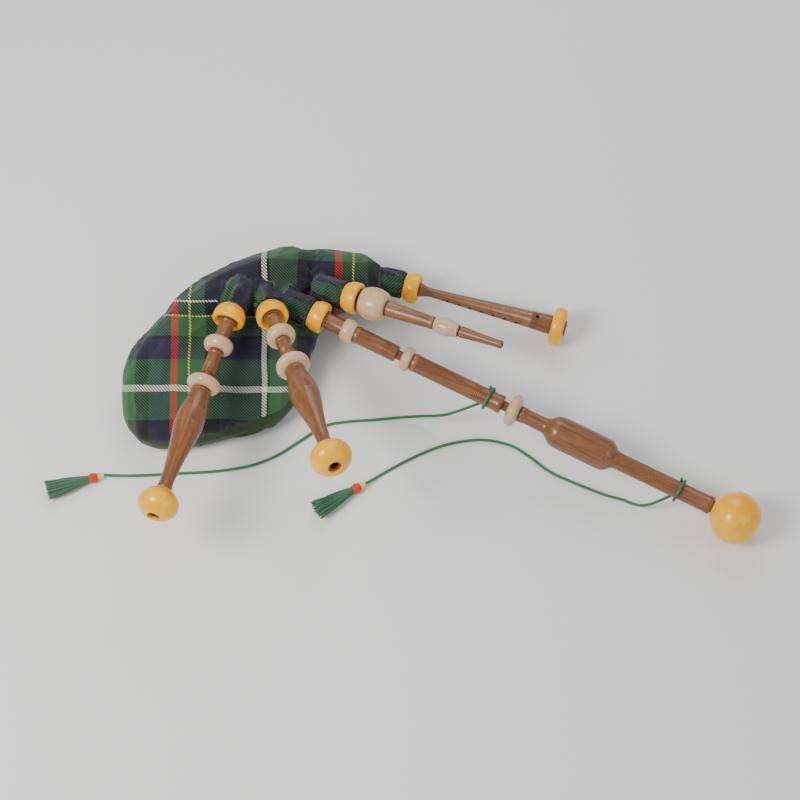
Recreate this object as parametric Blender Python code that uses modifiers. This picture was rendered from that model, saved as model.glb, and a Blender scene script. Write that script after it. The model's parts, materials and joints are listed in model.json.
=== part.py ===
"""Great Highland bagpipes, set down on a flat surface with the bag half full.

Metres, +Z up.  The origin is the middle of the flat patch that the bag rests on.  The long drone points
along +X and the two short drones towards -Y.  Every pipe is turned about the local +Z axis of its own
empty, which stands at the mouth of its stock, so that empty is also the pipe's joint axis.
"""

import math

import bmesh
import bpy
from mathutils import Matrix, Vector

MM = 0.001

# Gaps between touching pieces, in millimetres
SEAT_GAP = 0.3
RUN_GAP = 0.5

# The bag's full height (mm), and the five places where a pipe leaves it: mouth of the stock (x and y in mm,
# height as a share of the bag's), heading and rise (degrees)
BAG_HEIGHT = 200
PIPES = {
    "chanter": {"mouth": (278, 184), "height": 0.26, "heading": -16.0, "rise": -2.2},
    "blowpipe": {"mouth": (164, 105), "height": 0.74, "heading": -24.8, "rise": 8.5},
    "bass": {"mouth": (99, 70), "height": 0.67, "heading": -26.2, "rise": -5.56},
    "tenor_middle": {"mouth": (5, 45), "height": 0.9, "heading": -72.0, "rise": 19.5},
    "tenor_left": {"mouth": (-80, 36), "height": 0.92, "heading": -106.0, "rise": 2.0},
}

# Tenons, the reduced ends that fit the stocks and the tuning slides, and the hemp wound on them (mm)
TENON_LENGTH = 34
TENON_RADIUS = 9.4
HEMP_THICKNESS = 0.8
HEMP_MARGIN = 5
SLIDE_LENGTH = 74
SLIDE_SHOW = 11
SHOULDER_START = 0.5

# Stocks and what seats on them (mm)
STOCK_LENGTH = 85
STOCK_RADIUS = 18
STOCK_BORE = TENON_RADIUS + SEAT_GAP + HEMP_THICKNESS + RUN_GAP
STOCK_EASE = 1.5
CUP_FOOT = 7
CUP_DEPTH = 27
CUP_RADIUS = 31
CUP_LIP = 3
BINDING_BACK = 46
BINDING_WIDTH = 9
BINDING_THICKNESS = 3.2
SLEEVE_END = 30
SLEEVE_START = 92

# Bag and its skins (mm)
SKIN = 2.0
SKIN_GAP = 2.5
FLAT_DIP = 7

# Stations of the bag along X: x, near edge y, far edge y, share of full height, roundness of the section
BAG_STATIONS = (
    (-291, -80, -5, 0.42, 1.0),
    (-258, -158, 42, 0.72, 0.4),
    (-168, -170, 128, 0.94, 0.0),
    (-100, -152, 182, 1.00, 0.0),
    (-30, -130, 212, 1.00, 0.0),
    (24, -112, 226, 0.98, 0.0),
    (56, -40, 236, 0.90, 0.1),
    (84, 118, 243, 0.82, 0.6),
    (130, 140, 250, 0.70, 1.0),
    (218, 152, 244, 0.52, 1.0),
)
# One section of the body: share of the half width from near to far, share of the height
BODY_SECTION = (
    (-1.00, 0.26), (-0.80, 0.47), (-0.25, 0.57), (0.22, 0.65), (0.44, 0.93), (0.72, 1.04),
    (0.96, 0.82), (1.00, 0.38), (0.80, 0.00), (0.25, 0.00), (-0.35, 0.00), (-0.85, 0.02),
)

# Drones: places along the pipe from the stock's mouth (mm)
BASS_BALL = (40, 66)
BASS_LOWER_SLIDE = 166
BASS_LOWER_RING = 20
BASS_UPPER_SLIDE = 388
BASS_UPPER_RING = 24
BASS_BARREL = (468, 612)
BASS_BELL = (812, 902)
BASS_SHAFT = 17
BASS_BARREL_RADIUS = 31
BASS_NECK = 14
BASS_BELL_RADIUS = 50

TENOR_BALL = (42, 68)
TENOR_SLIDE = 130
TENOR_RING = 24
TENOR_BULB = 226
TENOR_NECK = 344
TENOR_BELL = (372, 428)
TENOR_SHAFT = 13
TENOR_BULB_RADIUS = 27
TENOR_BELL_RADIUS = 38

BALL_RADIUS = 24
RING_RADIUS = 32
LOWER_RING_RADIUS = 24
SOCKET_RADIUS = 15.5
DRONE_BORE = 6
BELL_BORE = 8.5
BELL_TUBE = 12
BELL_RECESS = 4
BELL_RIM = 5
REED_RADIUS = 4.5
REED_SEAT = 4
REED_SEAT_DEPTH = 14
REED_LENGTH = 42
REED_BORE = 2

# Blowpipe (mm)
BLOW_BALL = (6, 60)
BLOW_BALL_RADIUS = 32
BLOW_MOUNT = (162, 214)
BLOW_MOUNT_RADIUS = 17
BLOW_TIP = 300
BLOW_SHAFT = 14
BLOW_THIN = 10
BLOW_BORE = 5
PEG_LENGTH = 30
PEG_WALL = 3
MOUTH_BORE = 3.5
FLAP_RADIUS = 7.5
FLAP_THICKNESS = 1.5

# Chanter (mm)
CHANTER_LENGTH = 298
CHANTER_TOP_RADIUS = 9
CHANTER_FOOT_RADIUS = 19
SOLE = (270, 295)
SOLE_RADIUS = 38
SOLE_SEAT = 15
CHANTER_TOP_BORE = 3.4
CHANTER_FOOT_BORE = 10
FINGER_HOLE_RADIUS = 3.5
FINGER_HOLES = (62, 86, 109, 132, 156, 179, 202)
THUMB_HOLE = 50
VENT_HOLES = 240
FRONT_OF_CHANTER = -90.0

# Drone cords (mm)
CORD_RADIUS = 3
WRAP_RADIUS = 21.6
WRAP_STEPS = 12
POINT_SPACING = 18
TASSEL_LENGTH = 84
TASSEL_RADIUS = 19
TASSEL_HEAD = 30

TURN_STEPS = 12

COLOURS = {
    "tartan": ((0.045, 0.13, 0.055, 1), 0.9),
    "hide": ((0.45, 0.33, 0.2, 1), 0.7),
    "wood": ((0.27, 0.115, 0.038, 1), 0.4),
    "yellow": ((0.94, 0.43, 0.008, 1), 0.3),
    "cream": ((0.64, 0.45, 0.28, 1), 0.35),
    "hemp": ((0.55, 0.38, 0.14, 1), 0.9),
    "cane": ((0.68, 0.5, 0.2, 1), 0.6),
    "rubber": ((0.03, 0.03, 0.03, 1), 0.6),
    "green_cord": ((0.03, 0.16, 0.05, 1), 0.8),
    "tassel_green": ((0.045, 0.14, 0.09, 1), 0.8),
    "tassel_red": ((0.72, 0.03, 0.01, 1), 0.7),
}


def clear_scene():
    for item in list(bpy.data.objects):
        bpy.data.objects.remove(item, do_unlink=True)


def make_collection(name):
    collection = bpy.data.collections.new(name)
    bpy.context.scene.collection.children.link(collection)
    return collection


def make_materials():
    made = {}
    for name, (colour, roughness) in COLOURS.items():
        material = bpy.data.materials.new(name)
        material.use_nodes = True
        shader = material.node_tree.nodes["Principled BSDF"]
        shader.inputs["Base Color"].default_value = colour
        shader.inputs["Roughness"].default_value = roughness
        made[name] = material
    return made


clear_scene()
PARTS = make_collection("bagpipes")
CUTTERS = make_collection("bagpipes_cutters")
MATERIALS = make_materials()


def add_object(name, mesh, material, parent=None):
    """Put a mesh into the model as a named part."""
    item = bpy.data.objects.new(name, mesh)
    item.data.materials.append(MATERIALS[material])
    item.parent = parent
    PARTS.objects.link(item)
    return item


def add_axis(name, place, heading, rise):
    """An empty whose +Z runs along the heading and rises by an angle, with its +X pointing down."""
    empty = bpy.data.objects.new(f"{name}_axis", None)
    PARTS.objects.link(empty)
    empty.location = Vector(place) * MM
    empty.rotation_euler = (0, math.radians(90 - rise), math.radians(heading))
    return empty


AXES = {name: add_axis(name, (*pipe["mouth"], pipe["height"] * BAG_HEIGHT), pipe["heading"], pipe["rise"])
        for name, pipe in PIPES.items()}


def add_turned(name, outer, inner, material, parent):
    """A turned piece: outer and inner are (place along the pipe, radius), both from the mouth outwards."""
    mesh = bpy.data.meshes.new(name)
    profile = [Vector((r * MM, 0, z * MM)) for z, r in list(reversed(outer)) + list(inner)]
    count = len(profile)
    edges = [(i, (i + 1) % count) for i in range(count)]
    if not inner:
        edges.pop()
    mesh.from_pydata(profile, edges, [])
    item = add_object(name, mesh, material, parent)
    screw = item.modifiers.new("turn", "SCREW")
    screw.axis = "Z"
    screw.steps = TURN_STEPS
    screw.render_steps = TURN_STEPS
    screw.use_merge_vertices = True
    screw.merge_threshold = 0.00001
    screw.use_smooth_shade = True
    return item


def tube(start, end, outer_radius, inner_radius):
    """Outer and inner profiles of a plain tube."""
    return [(start, outer_radius), (end, outer_radius)], [(start, inner_radius), (end, inner_radius)]


def bead(start, end, radius, seat, rim):
    """Profiles of a rounded ferrule, ball or ring that sits on a shaft of the seat's radius."""
    middle = (start + end) / 2
    quarter = (end - start) * 0.2
    shoulder = rim + (radius - rim) * 0.72
    outer = [(start, rim), (start + quarter, shoulder), (middle, radius), (end - quarter, shoulder), (end, rim)]
    bore = seat + SEAT_GAP
    return outer, [(start, bore), (end, bore)]


def mesh_from(item):
    """The object's mesh as its modifiers leave it, in world space."""
    bpy.context.view_layer.update()
    evaluated = item.evaluated_get(bpy.context.evaluated_depsgraph_get())
    mesh = bpy.data.meshes.new_from_object(evaluated)
    mesh.transform(item.matrix_world)
    return mesh


def add_cutter(name, mesh):
    """A guide or cutter that isn't part of the model."""
    cutter = bpy.data.objects.new(name, mesh)
    cutter.hide_render = True
    cutter.display_type = "WIRE"
    CUTTERS.objects.link(cutter)
    return cutter


def rod_mesh(name, start, end, radius, matrix, sides=TURN_STEPS):
    """A plain rod along the local +Z of a matrix."""
    shape = bmesh.new()
    middle = Matrix.Translation((0, 0, (start + end) / 2 * MM))
    bmesh.ops.create_cone(shape, cap_ends=True, segments=sides, radius1=radius * MM, radius2=radius * MM,
                          depth=(end - start) * MM, matrix=matrix @ middle)
    mesh = bpy.data.meshes.new(name)
    shape.to_mesh(mesh)
    shape.free()
    return mesh


def combine(item, tool, operation):
    """Add or cut the tool with an exact Boolean and leave the result as the object's mesh."""
    boolean = item.modifiers.new(operation.lower(), "BOOLEAN")
    boolean.operation = operation
    boolean.solver = "EXACT"
    boolean.object = tool
    bpy.context.view_layer.update()
    evaluated = item.evaluated_get(bpy.context.evaluated_depsgraph_get())
    mesh = bpy.data.meshes.new_from_object(evaluated)
    item.modifiers.clear()
    item.data = mesh


# ---------------------------------------------------------------------------------------------- the bag


def section_point(index, roundness):
    """One corner of a section, between the body's hand-shaped section and a plain round one."""
    across, up = BODY_SECTION[index]
    angle = math.pi - index * math.tau / len(BODY_SECTION)
    round_across, round_up = math.cos(angle), 0.5 + 0.5 * math.sin(angle)
    return (across + (round_across - across) * roundness, up + (round_up - up) * roundness)


def bag_cage():
    """The coarse cage of the bag: one ring of corners for each station, closed at both ends."""
    shape = bmesh.new()
    rings = []
    for x, near, far, share, roundness in BAG_STATIONS:
        middle, half = (near + far) / 2, (far - near) / 2
        ring = []
        for index in range(len(BODY_SECTION)):
            across, up = section_point(index, roundness)
            height = up * share * (BAG_HEIGHT + FLAT_DIP) - FLAT_DIP
            ring.append(shape.verts.new(Vector((x, middle + across * half, height)) * MM))
        rings.append(ring)
    for ring, following in zip(rings, rings[1:]):
        for index in range(len(ring)):
            after = (index + 1) % len(ring)
            shape.faces.new((ring[index], ring[after], following[after], following[index]))
    shape.faces.new(reversed(rings[0]))
    shape.faces.new(rings[-1])
    bmesh.ops.recalc_face_normals(shape, faces=shape.faces)
    return shape


def smooth_bag():
    """The bag's outer form: the cage subdivided, then pressed flat where it rests."""
    mesh = bpy.data.meshes.new("bag_form")
    cage = bag_cage()
    cage.to_mesh(mesh)
    cage.free()
    form = add_cutter("bag_form", mesh)
    subdivision = form.modifiers.new("soften", "SUBSURF")
    subdivision.levels = 1
    subdivision.render_levels = 1
    smoothed = mesh_from(form)
    for vertex in smoothed.vertices:
        vertex.co.z = max(vertex.co.z, 0.0)
    smoothed.update()
    return smoothed


def bag_skin(name, source, depth, sleeve_radius, sleeve_end):
    """The bag's form taken in by a depth, with a sleeve round each stock."""
    mesh = source.copy()
    mesh.name = name
    normals = [vertex.normal.copy() for vertex in mesh.vertices]
    for vertex, normal in zip(mesh.vertices, normals):
        vertex.co -= normal * depth * MM
        vertex.co.z = max(vertex.co.z, depth * MM)
    item = add_cutter(name, mesh)
    for pipe, axis in AXES.items():
        start = -SLEEVE_START + depth
        sleeve = rod_mesh(f"{name}_{pipe}", start, -sleeve_end, sleeve_radius, axis.matrix_world)
        combine(item, add_cutter(f"{name}_{pipe}", sleeve), "UNION")
    return item


def add_bag_layer(name, source, depth, sleeve_bore, sleeve_end, material):
    """A skin of even thickness, open at the end of every sleeve."""
    outside = bag_skin(f"{name}_outside", source, depth, sleeve_bore + SKIN, sleeve_end)
    inside = bag_skin(f"{name}_inside", source, depth + SKIN, sleeve_bore, 0)
    combine(outside, inside, "DIFFERENCE")
    layer = add_object(name, outside.data.copy(), material)
    layer.data.materials.clear()
    layer.data.materials.append(MATERIALS[material])
    return layer


def make_bag():
    form = smooth_bag()
    air_bag_bore = STOCK_RADIUS + SEAT_GAP
    binding_outside = air_bag_bore + SKIN + SEAT_GAP + BINDING_THICKNESS
    add_bag_layer("bag_cover", form, 0, binding_outside + SEAT_GAP, SLEEVE_END, "tartan")
    add_bag_layer("air_bag", form, SKIN + SKIN_GAP, air_bag_bore, SLEEVE_END + 2 * SEAT_GAP, "hide")
    for pipe, axis in AXES.items():
        binding = tube(-BINDING_BACK, -BINDING_BACK + BINDING_WIDTH, binding_outside,
                       binding_outside - BINDING_THICKNESS)
        add_turned(f"{pipe}_binding", *binding, "hemp", axis)


# ------------------------------------------------------------------------------- stocks and their tenons


def make_stock(pipe, axis):
    outer = [(-STOCK_LENGTH, STOCK_RADIUS - STOCK_EASE), (-STOCK_LENGTH + 4, STOCK_RADIUS), (0, STOCK_RADIUS)]
    inner = [(-STOCK_LENGTH, STOCK_BORE), (0, STOCK_BORE)]
    add_turned(f"{pipe}_stock", outer, inner, "wood", axis)
    cup = [(-CUP_DEPTH, STOCK_RADIUS + CUP_FOOT), (-CUP_DEPTH * 0.6, CUP_RADIUS - 1), (-CUP_DEPTH * 0.15, CUP_RADIUS),
           (CUP_LIP, CUP_RADIUS - 4)]
    seat = STOCK_RADIUS + SEAT_GAP
    hollow = [(-CUP_DEPTH, seat), (-CUP_LIP, seat), (CUP_LIP, CUP_RADIUS - 7)]
    add_turned(f"{pipe}_ferrule", cup, hollow, "yellow", axis)


def add_hemp(name, start, end, axis):
    """The winding on a tenon: it fills the gap between the tenon and the bore that it turns in."""
    winding = tube(start + HEMP_MARGIN, end - HEMP_MARGIN, STOCK_BORE - RUN_GAP, TENON_RADIUS + SEAT_GAP)
    add_turned(name, *winding, "hemp", axis)


def add_drone_reed(name, axis):
    """The tongued tube that sounds a drone, pushed into the foot of its bottom joint."""
    foot = -TENON_LENGTH + REED_SEAT_DEPTH - 2
    outer = [(foot - REED_LENGTH, REED_RADIUS), (-TENON_LENGTH - 1, REED_RADIUS), (-TENON_LENGTH - 1, REED_SEAT),
             (foot, REED_SEAT)]
    add_turned(name, outer, [(foot - REED_LENGTH, REED_BORE), (foot, REED_BORE)], "cane", axis)


def drone_tenon():
    return [(-TENON_LENGTH, TENON_RADIUS), (SHOULDER_START, TENON_RADIUS)]


def reed_seat():
    """The start of a bottom joint's bore, which the drone reed is pushed into."""
    return [(-TENON_LENGTH, REED_SEAT + SEAT_GAP), (-TENON_LENGTH + REED_SEAT_DEPTH, REED_SEAT + SEAT_GAP)]


def slide_end(shaft_radius, slide):
    """The end of a joint that slides into the next one: a shoulder, then the tuning pin."""
    return [(slide - SLIDE_SHOW, shaft_radius), (slide - SLIDE_SHOW, TENON_RADIUS),
            (slide - SLIDE_SHOW + SLIDE_LENGTH, TENON_RADIUS)]


def slide_socket(slide, end_bore):
    """The bore that a tuning pin slides in, with room for the pin to be pushed home."""
    depth = slide + SLIDE_LENGTH + HEMP_MARGIN
    return [(slide, STOCK_BORE), (depth, STOCK_BORE), (depth + 4, end_bore)]


# ------------------------------------------------------------------------------------------- the drones


def add_bell(name, span, radius, axis):
    """The domed cap at a drone's end, with the wood's end showing in its mouth."""
    start, end = span
    length = end - start
    outer = [(start, BELL_TUBE + BELL_RIM), (start + length * 0.16, radius * 0.72), (start + length * 0.38, radius * 0.96),
             (start + length * 0.55, radius), (start + length * 0.76, radius * 0.9),
             (end - length * 0.06, radius * 0.62), (end, radius * 0.4)]
    inner = [(start, BELL_TUBE + SEAT_GAP), (end, BELL_TUBE + SEAT_GAP)]
    add_turned(name, outer, inner, "yellow", axis)


def make_bass(axis):
    shaft = BASS_SHAFT
    ball_start, ball_end = BASS_BALL
    bottom = drone_tenon() + [(SHOULDER_START, shaft - 1), (ball_start - 2, shaft - 1),
                              (ball_end + 2, shaft - 1)] + slide_end(shaft - 1, BASS_LOWER_SLIDE)
    bore = reed_seat() + [(BASS_LOWER_SLIDE - SLIDE_SHOW + SLIDE_LENGTH, DRONE_BORE)]
    add_turned("bass_bottom_joint", bottom, bore, "wood", axis)
    add_turned("bass_ball", *bead(ball_start, ball_end, BALL_RADIUS, shaft - 1, shaft + 2), "cream", axis)
    add_hemp("bass_stock_hemp", -TENON_LENGTH, 0, axis)
    add_drone_reed("bass_reed", axis)

    lower = BASS_LOWER_SLIDE
    seat = lower + BASS_LOWER_RING
    middle = [(lower, SOCKET_RADIUS), (seat + 2, SOCKET_RADIUS), (seat + 2, shaft)]
    middle += slide_end(shaft, BASS_UPPER_SLIDE)
    bore = slide_socket(lower, DRONE_BORE) + [(BASS_UPPER_SLIDE - SLIDE_SHOW + SLIDE_LENGTH, DRONE_BORE)]
    add_turned("bass_middle_joint", middle, bore, "wood", axis)
    add_turned("bass_lower_ring", *bead(lower + 1, seat, LOWER_RING_RADIUS, SOCKET_RADIUS, 18), "cream", axis)
    add_hemp("bass_lower_hemp", lower + HEMP_MARGIN, lower - SLIDE_SHOW + SLIDE_LENGTH, axis)

    upper = BASS_UPPER_SLIDE
    seat = upper + BASS_UPPER_RING
    barrel_start, barrel_end = BASS_BARREL
    bell_start, bell_end = BASS_BELL
    top = [(upper, SOCKET_RADIUS), (seat + 2, SOCKET_RADIUS), (seat + 2, BASS_NECK), (barrel_start, BASS_NECK + 1),
           (barrel_start + 12, BASS_BARREL_RADIUS - 3), (barrel_start + 26, BASS_BARREL_RADIUS),
           (barrel_end - 26, BASS_BARREL_RADIUS), (barrel_end - 8, BASS_BARREL_RADIUS - 6),
           (barrel_end, shaft - 0.5), (bell_start - 2, shaft - 0.5), (bell_start - 2, BELL_TUBE),
           (bell_end - BELL_RECESS, BELL_TUBE)]
    bore = slide_socket(upper, DRONE_BORE) + [(bell_end - 40, DRONE_BORE + 1), (bell_end - 32, BELL_BORE),
                                              (bell_end - BELL_RECESS, BELL_BORE)]
    add_turned("bass_top_joint", top, bore, "wood", axis)
    add_turned("bass_upper_ring", *bead(upper + 1, seat, RING_RADIUS, SOCKET_RADIUS, 18), "cream", axis)
    add_hemp("bass_upper_hemp", upper + HEMP_MARGIN, upper - SLIDE_SHOW + SLIDE_LENGTH, axis)
    add_bell("bass_bell", BASS_BELL, BASS_BELL_RADIUS, axis)


def make_tenor(pipe, axis):
    shaft = TENOR_SHAFT
    ball_start, ball_end = TENOR_BALL
    bottom = drone_tenon() + [(SHOULDER_START, shaft + 1), (ball_start - 2, shaft)] + slide_end(shaft, TENOR_SLIDE)
    bore = reed_seat() + [(TENOR_SLIDE - SLIDE_SHOW + SLIDE_LENGTH, DRONE_BORE)]
    add_turned(f"{pipe}_bottom_joint", bottom, bore, "wood", axis)
    add_turned(f"{pipe}_ball", *bead(ball_start, ball_end, BALL_RADIUS + 4, shaft, shaft + 3), "cream", axis)
    add_hemp(f"{pipe}_stock_hemp", -TENON_LENGTH, 0, axis)
    add_drone_reed(f"{pipe}_reed", axis)

    slide = TENOR_SLIDE
    seat = slide + TENOR_RING
    bell_start, bell_end = TENOR_BELL
    top = [(slide, SOCKET_RADIUS), (seat + 2, SOCKET_RADIUS), (seat + 2, 18), (seat + 24, 21),
           (TENOR_BULB - 20, TENOR_BULB_RADIUS - 1), (TENOR_BULB + 10, TENOR_BULB_RADIUS),
           (TENOR_BULB + 50, TENOR_BULB_RADIUS - 6), (TENOR_NECK, shaft), (bell_start - 2, shaft),
           (bell_start - 2, BELL_TUBE), (bell_end - BELL_RECESS, BELL_TUBE)]
    bore = slide_socket(slide, DRONE_BORE) + [(bell_end - 36, DRONE_BORE + 1), (bell_end - 28, BELL_BORE),
                                              (bell_end - BELL_RECESS, BELL_BORE)]
    add_turned(f"{pipe}_top_joint", top, bore, "wood", axis)
    add_turned(f"{pipe}_ring", *bead(slide + 1, seat, RING_RADIUS, SOCKET_RADIUS, 18), "cream", axis)
    add_hemp(f"{pipe}_slide_hemp", slide + HEMP_MARGIN, slide - SLIDE_SHOW + SLIDE_LENGTH, axis)
    add_bell(f"{pipe}_bell", TENOR_BELL, TENOR_BELL_RADIUS, axis)


# ---------------------------------------------------------------------------------- blowpipe and chanter


def make_blowpipe(axis):
    ball_start, ball_end = BLOW_BALL
    mount_start, mount_end = BLOW_MOUNT
    shaft, tip = BLOW_SHAFT, BLOW_THIN
    socket = mount_end - PEG_LENGTH
    outer = [(-TENON_LENGTH, TENON_RADIUS), (SHOULDER_START, TENON_RADIUS), (SHOULDER_START, shaft),
             (ball_end + 2, shaft), (ball_end + 2, shaft + 2), (mount_start - 2, tip + 2), (mount_start - 2, tip),
             (mount_end - 2, tip)]
    inner = [(-TENON_LENGTH, BLOW_BORE), (socket, BLOW_BORE), (socket, tip - PEG_WALL),
             (mount_end - 2, tip - PEG_WALL)]
    add_turned("blowpipe", outer, inner, "wood", axis)
    add_turned("blowpipe_ball", *bead(ball_start, ball_end, BLOW_BALL_RADIUS, shaft, shaft + 4), "cream", axis)
    add_turned("blowpipe_mount", *bead(mount_start, mount_end - 4, BLOW_MOUNT_RADIUS, tip, tip + 2.5), "cream", axis)
    add_hemp("blowpipe_hemp", -TENON_LENGTH, 0, axis)
    peg = tip - PEG_WALL - RUN_GAP
    outer = [(socket + 2, peg), (mount_end, peg), (mount_end, tip + 1), (mount_end + 40, tip - 1),
             (BLOW_TIP - 10, tip - 2.5), (BLOW_TIP - 2, tip - 2), (BLOW_TIP, tip - 3)]
    inner = [(socket + 2, MOUTH_BORE), (BLOW_TIP, MOUTH_BORE)]
    add_turned("mouthpiece", outer, inner, "wood", axis)
    flap = rod_mesh("valve_flap", -FLAP_THICKNESS, 0, FLAP_RADIUS, Matrix.Identity(4))
    flap.transform(Matrix.Translation((FLAP_RADIUS * MM, 0, 0)))
    item = add_object("valve_flap", flap, "rubber", axis)
    item.location = (-FLAP_RADIUS * MM, 0, (-TENON_LENGTH - SEAT_GAP) * MM)


def make_chanter(axis):
    sole_start, sole_end = SOLE
    outer = [(-TENON_LENGTH, TENON_RADIUS - 2), (-TENON_LENGTH + 4, TENON_RADIUS), (SHOULDER_START, TENON_RADIUS),
             (SHOULDER_START, CHANTER_TOP_RADIUS + 4), (12, CHANTER_TOP_RADIUS + 3), (30, CHANTER_TOP_RADIUS),
             (sole_start - 12, CHANTER_FOOT_RADIUS), (sole_start - 1, CHANTER_FOOT_RADIUS),
             (sole_start - 1, SOLE_SEAT), (CHANTER_LENGTH, SOLE_SEAT)]
    inner = [(-TENON_LENGTH, CHANTER_TOP_BORE), (30, CHANTER_TOP_BORE), (CHANTER_LENGTH, CHANTER_FOOT_BORE)]
    body = add_turned("chanter", outer, inner, "wood", axis)
    sole = bead(sole_start, sole_end, SOLE_RADIUS, SOLE_SEAT, SOLE_RADIUS - 8)
    add_turned("chanter_sole", *sole, "yellow", axis)
    add_hemp("chanter_hemp", -TENON_LENGTH, 0, axis)
    reed_top, reed_foot = -TENON_LENGTH - 26, -TENON_LENGTH + 10
    staple = CHANTER_TOP_BORE - SEAT_GAP
    outer = [(reed_top, 6), (-TENON_LENGTH - 10, 4), (-TENON_LENGTH - 1, staple), (reed_foot, staple)]
    add_turned("chanter_reed", outer, [(reed_top, 1.5), (reed_foot, 1.5)], "cane", axis)
    drill_chanter(body)


def drill_chanter(body):
    """Seven finger holes down the front, the thumb hole behind, and a vent right across the foot."""
    reach = CHANTER_FOOT_RADIUS + 4
    front = math.radians(FRONT_OF_CHANTER)
    holes = [(place, front, 0) for place in FINGER_HOLES]
    holes.append((THUMB_HOLE, front + math.pi, 0))
    holes.append((VENT_HOLES, front + math.pi / 2, -reach))
    for number, (place, turn, start) in enumerate(holes):
        lie = Matrix.Translation((0, 0, place * MM)) @ Matrix.Rotation(turn, 4, "Z")
        matrix = lie @ Matrix.Rotation(math.pi / 2, 4, "Y")
        drill = rod_mesh(f"drill_{number}", start, reach, FINGER_HOLE_RADIUS, matrix, 8)
        cutter = add_cutter(f"drill_{number}", drill)
        cutter.parent = body.parent
        combine(body, cutter, "DIFFERENCE")


# --------------------------------------------------------------------------------- cords and tassels


def on_bass(along, turn, radius=WRAP_RADIUS):
    """A point round the bass drone: place along it, angle round it from the top, distance from its axis."""
    local = Vector((-math.cos(turn) * radius, math.sin(turn) * radius, along)) * MM
    return AXES["bass"].matrix_world @ local


def wrap_points(along, start_turn, turns, pitch):
    """The turns that a cord takes round the bass drone."""
    steps = round(abs(turns) * WRAP_STEPS)
    points = []
    for step in range(steps + 1):
        share = step / steps
        points.append(on_bass(along + share * pitch, math.radians(start_turn) + share * turns * math.tau))
    return points


def smooth_route(points, spacing):
    """Points at an even spacing on a smooth curve through the route's own points."""
    ends = [points[0] * 2 - points[1]] + points + [points[-1] * 2 - points[-2]]
    fine = []
    for before, start, end, after in zip(ends, ends[1:], ends[2:], ends[3:]):
        pieces = max(1, math.ceil((end - start).length / spacing))
        for piece in range(pieces):
            t = piece / pieces
            fine.append(0.5 * (2 * start + (end - before) * t + (2 * before - 5 * start + 4 * end - after) * t * t
                               + (3 * start - before - 3 * end + after) * t ** 3))
    return fine + [points[-1]]


def add_cord(name, wrap, route):
    """A plain tube along a cord: its turns round the drone, then its way over the floor to the tassel."""
    free = [wrap[-1]] + [Vector(point) * MM for point in route]
    points = wrap[:-1] + smooth_route(free, POINT_SPACING * MM)
    curve = bpy.data.curves.new(name, "CURVE")
    curve.dimensions = "3D"
    curve.bevel_depth = CORD_RADIUS * MM
    curve.bevel_resolution = 2
    curve.use_fill_caps = True
    spline = curve.splines.new("POLY")
    spline.points.add(len(points) - 1)
    for place, point in zip(spline.points, points):
        place.co = (*point, 1)
    return add_object(name, curve, "green_cord")


def add_tassel(name, knot, heading):
    """A tassel lying on the floor: a bound head, then the skirt of cut threads."""
    tilt = math.degrees(math.asin((TASSEL_RADIUS - 8) / (TASSEL_LENGTH + TASSEL_HEAD)))
    axis = add_axis(name, knot, heading, tilt)
    head = [(0, 3.5), (6, 6), (12, 8), (20, 9.5), (TASSEL_HEAD, 7)]
    add_turned(f"{name}_head", [(0, 0)] + head + [(TASSEL_HEAD, 0)], [], "tassel_red", axis)
    start = TASSEL_HEAD + SEAT_GAP
    end = start + TASSEL_LENGTH
    skirt = [(start, 0), (start, 7), (start + 16, 11), (start + 44, 16), (end - 12, TASSEL_RADIUS),
             (end, TASSEL_RADIUS - 1), (end, 0)]
    add_turned(f"{name}_skirt", skirt, [], "tassel_green", axis)


def make_cords():
    long_wrap = wrap_points(342, 60, 1.25, 9)
    long_route = [(352, -88, 58), (322, -84, 34), (282, -76, 15), (240, -74, 5), (196, -78, 3.6), (145, -82, 3.6),
                  (98, -92, 3.6), (52, -124, 3.6), (10, -154, 3.6), (-40, -176, 3.6), (-105, -188, 3.6),
                  (-180, -193, 3.6), (-250, -197, 3.6), (-304, -198, 6), (-316, -198.2, 8.6)]
    add_cord("long_cord", long_wrap, long_route)
    add_tassel("long_tassel", (-317.6, -198.7, 9.4), 200)
    short_wrap = wrap_points(738, 60, 1.25, 9)
    short_route = [(716, -268, 30), (690, -262, 10), (662, -248, 3.6), (625, -236, 3.6), (575, -214, 3.6),
                   (528, -190, 3.6), (490, -158, 3.6), (455, -134, 3.6), (410, -122, 3.6), (365, -124, 3.6),
                   (318, -136, 3.6), (270, -158, 3.6), (225, -184, 3.6), (188, -209, 6), (179, -215.2, 8.6)]
    add_cord("short_cord", short_wrap, short_route)
    add_tassel("short_tassel", (177.4, -216.3, 9.4), 214)


def build():
    make_bag()
    for pipe, axis in AXES.items():
        make_stock(pipe, axis)
    make_chanter(AXES["chanter"])
    make_blowpipe(AXES["blowpipe"])
    make_bass(AXES["bass"])
    make_tenor("tenor_middle", AXES["tenor_middle"])
    make_tenor("tenor_left", AXES["tenor_left"])
    make_cords()


bpy.context.view_layer.update()
build()
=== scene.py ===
import json
import math
import random

import bmesh
import bpy
from mathutils import Matrix, Vector, noise
from mathutils.bvhtree import BVHTree


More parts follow.
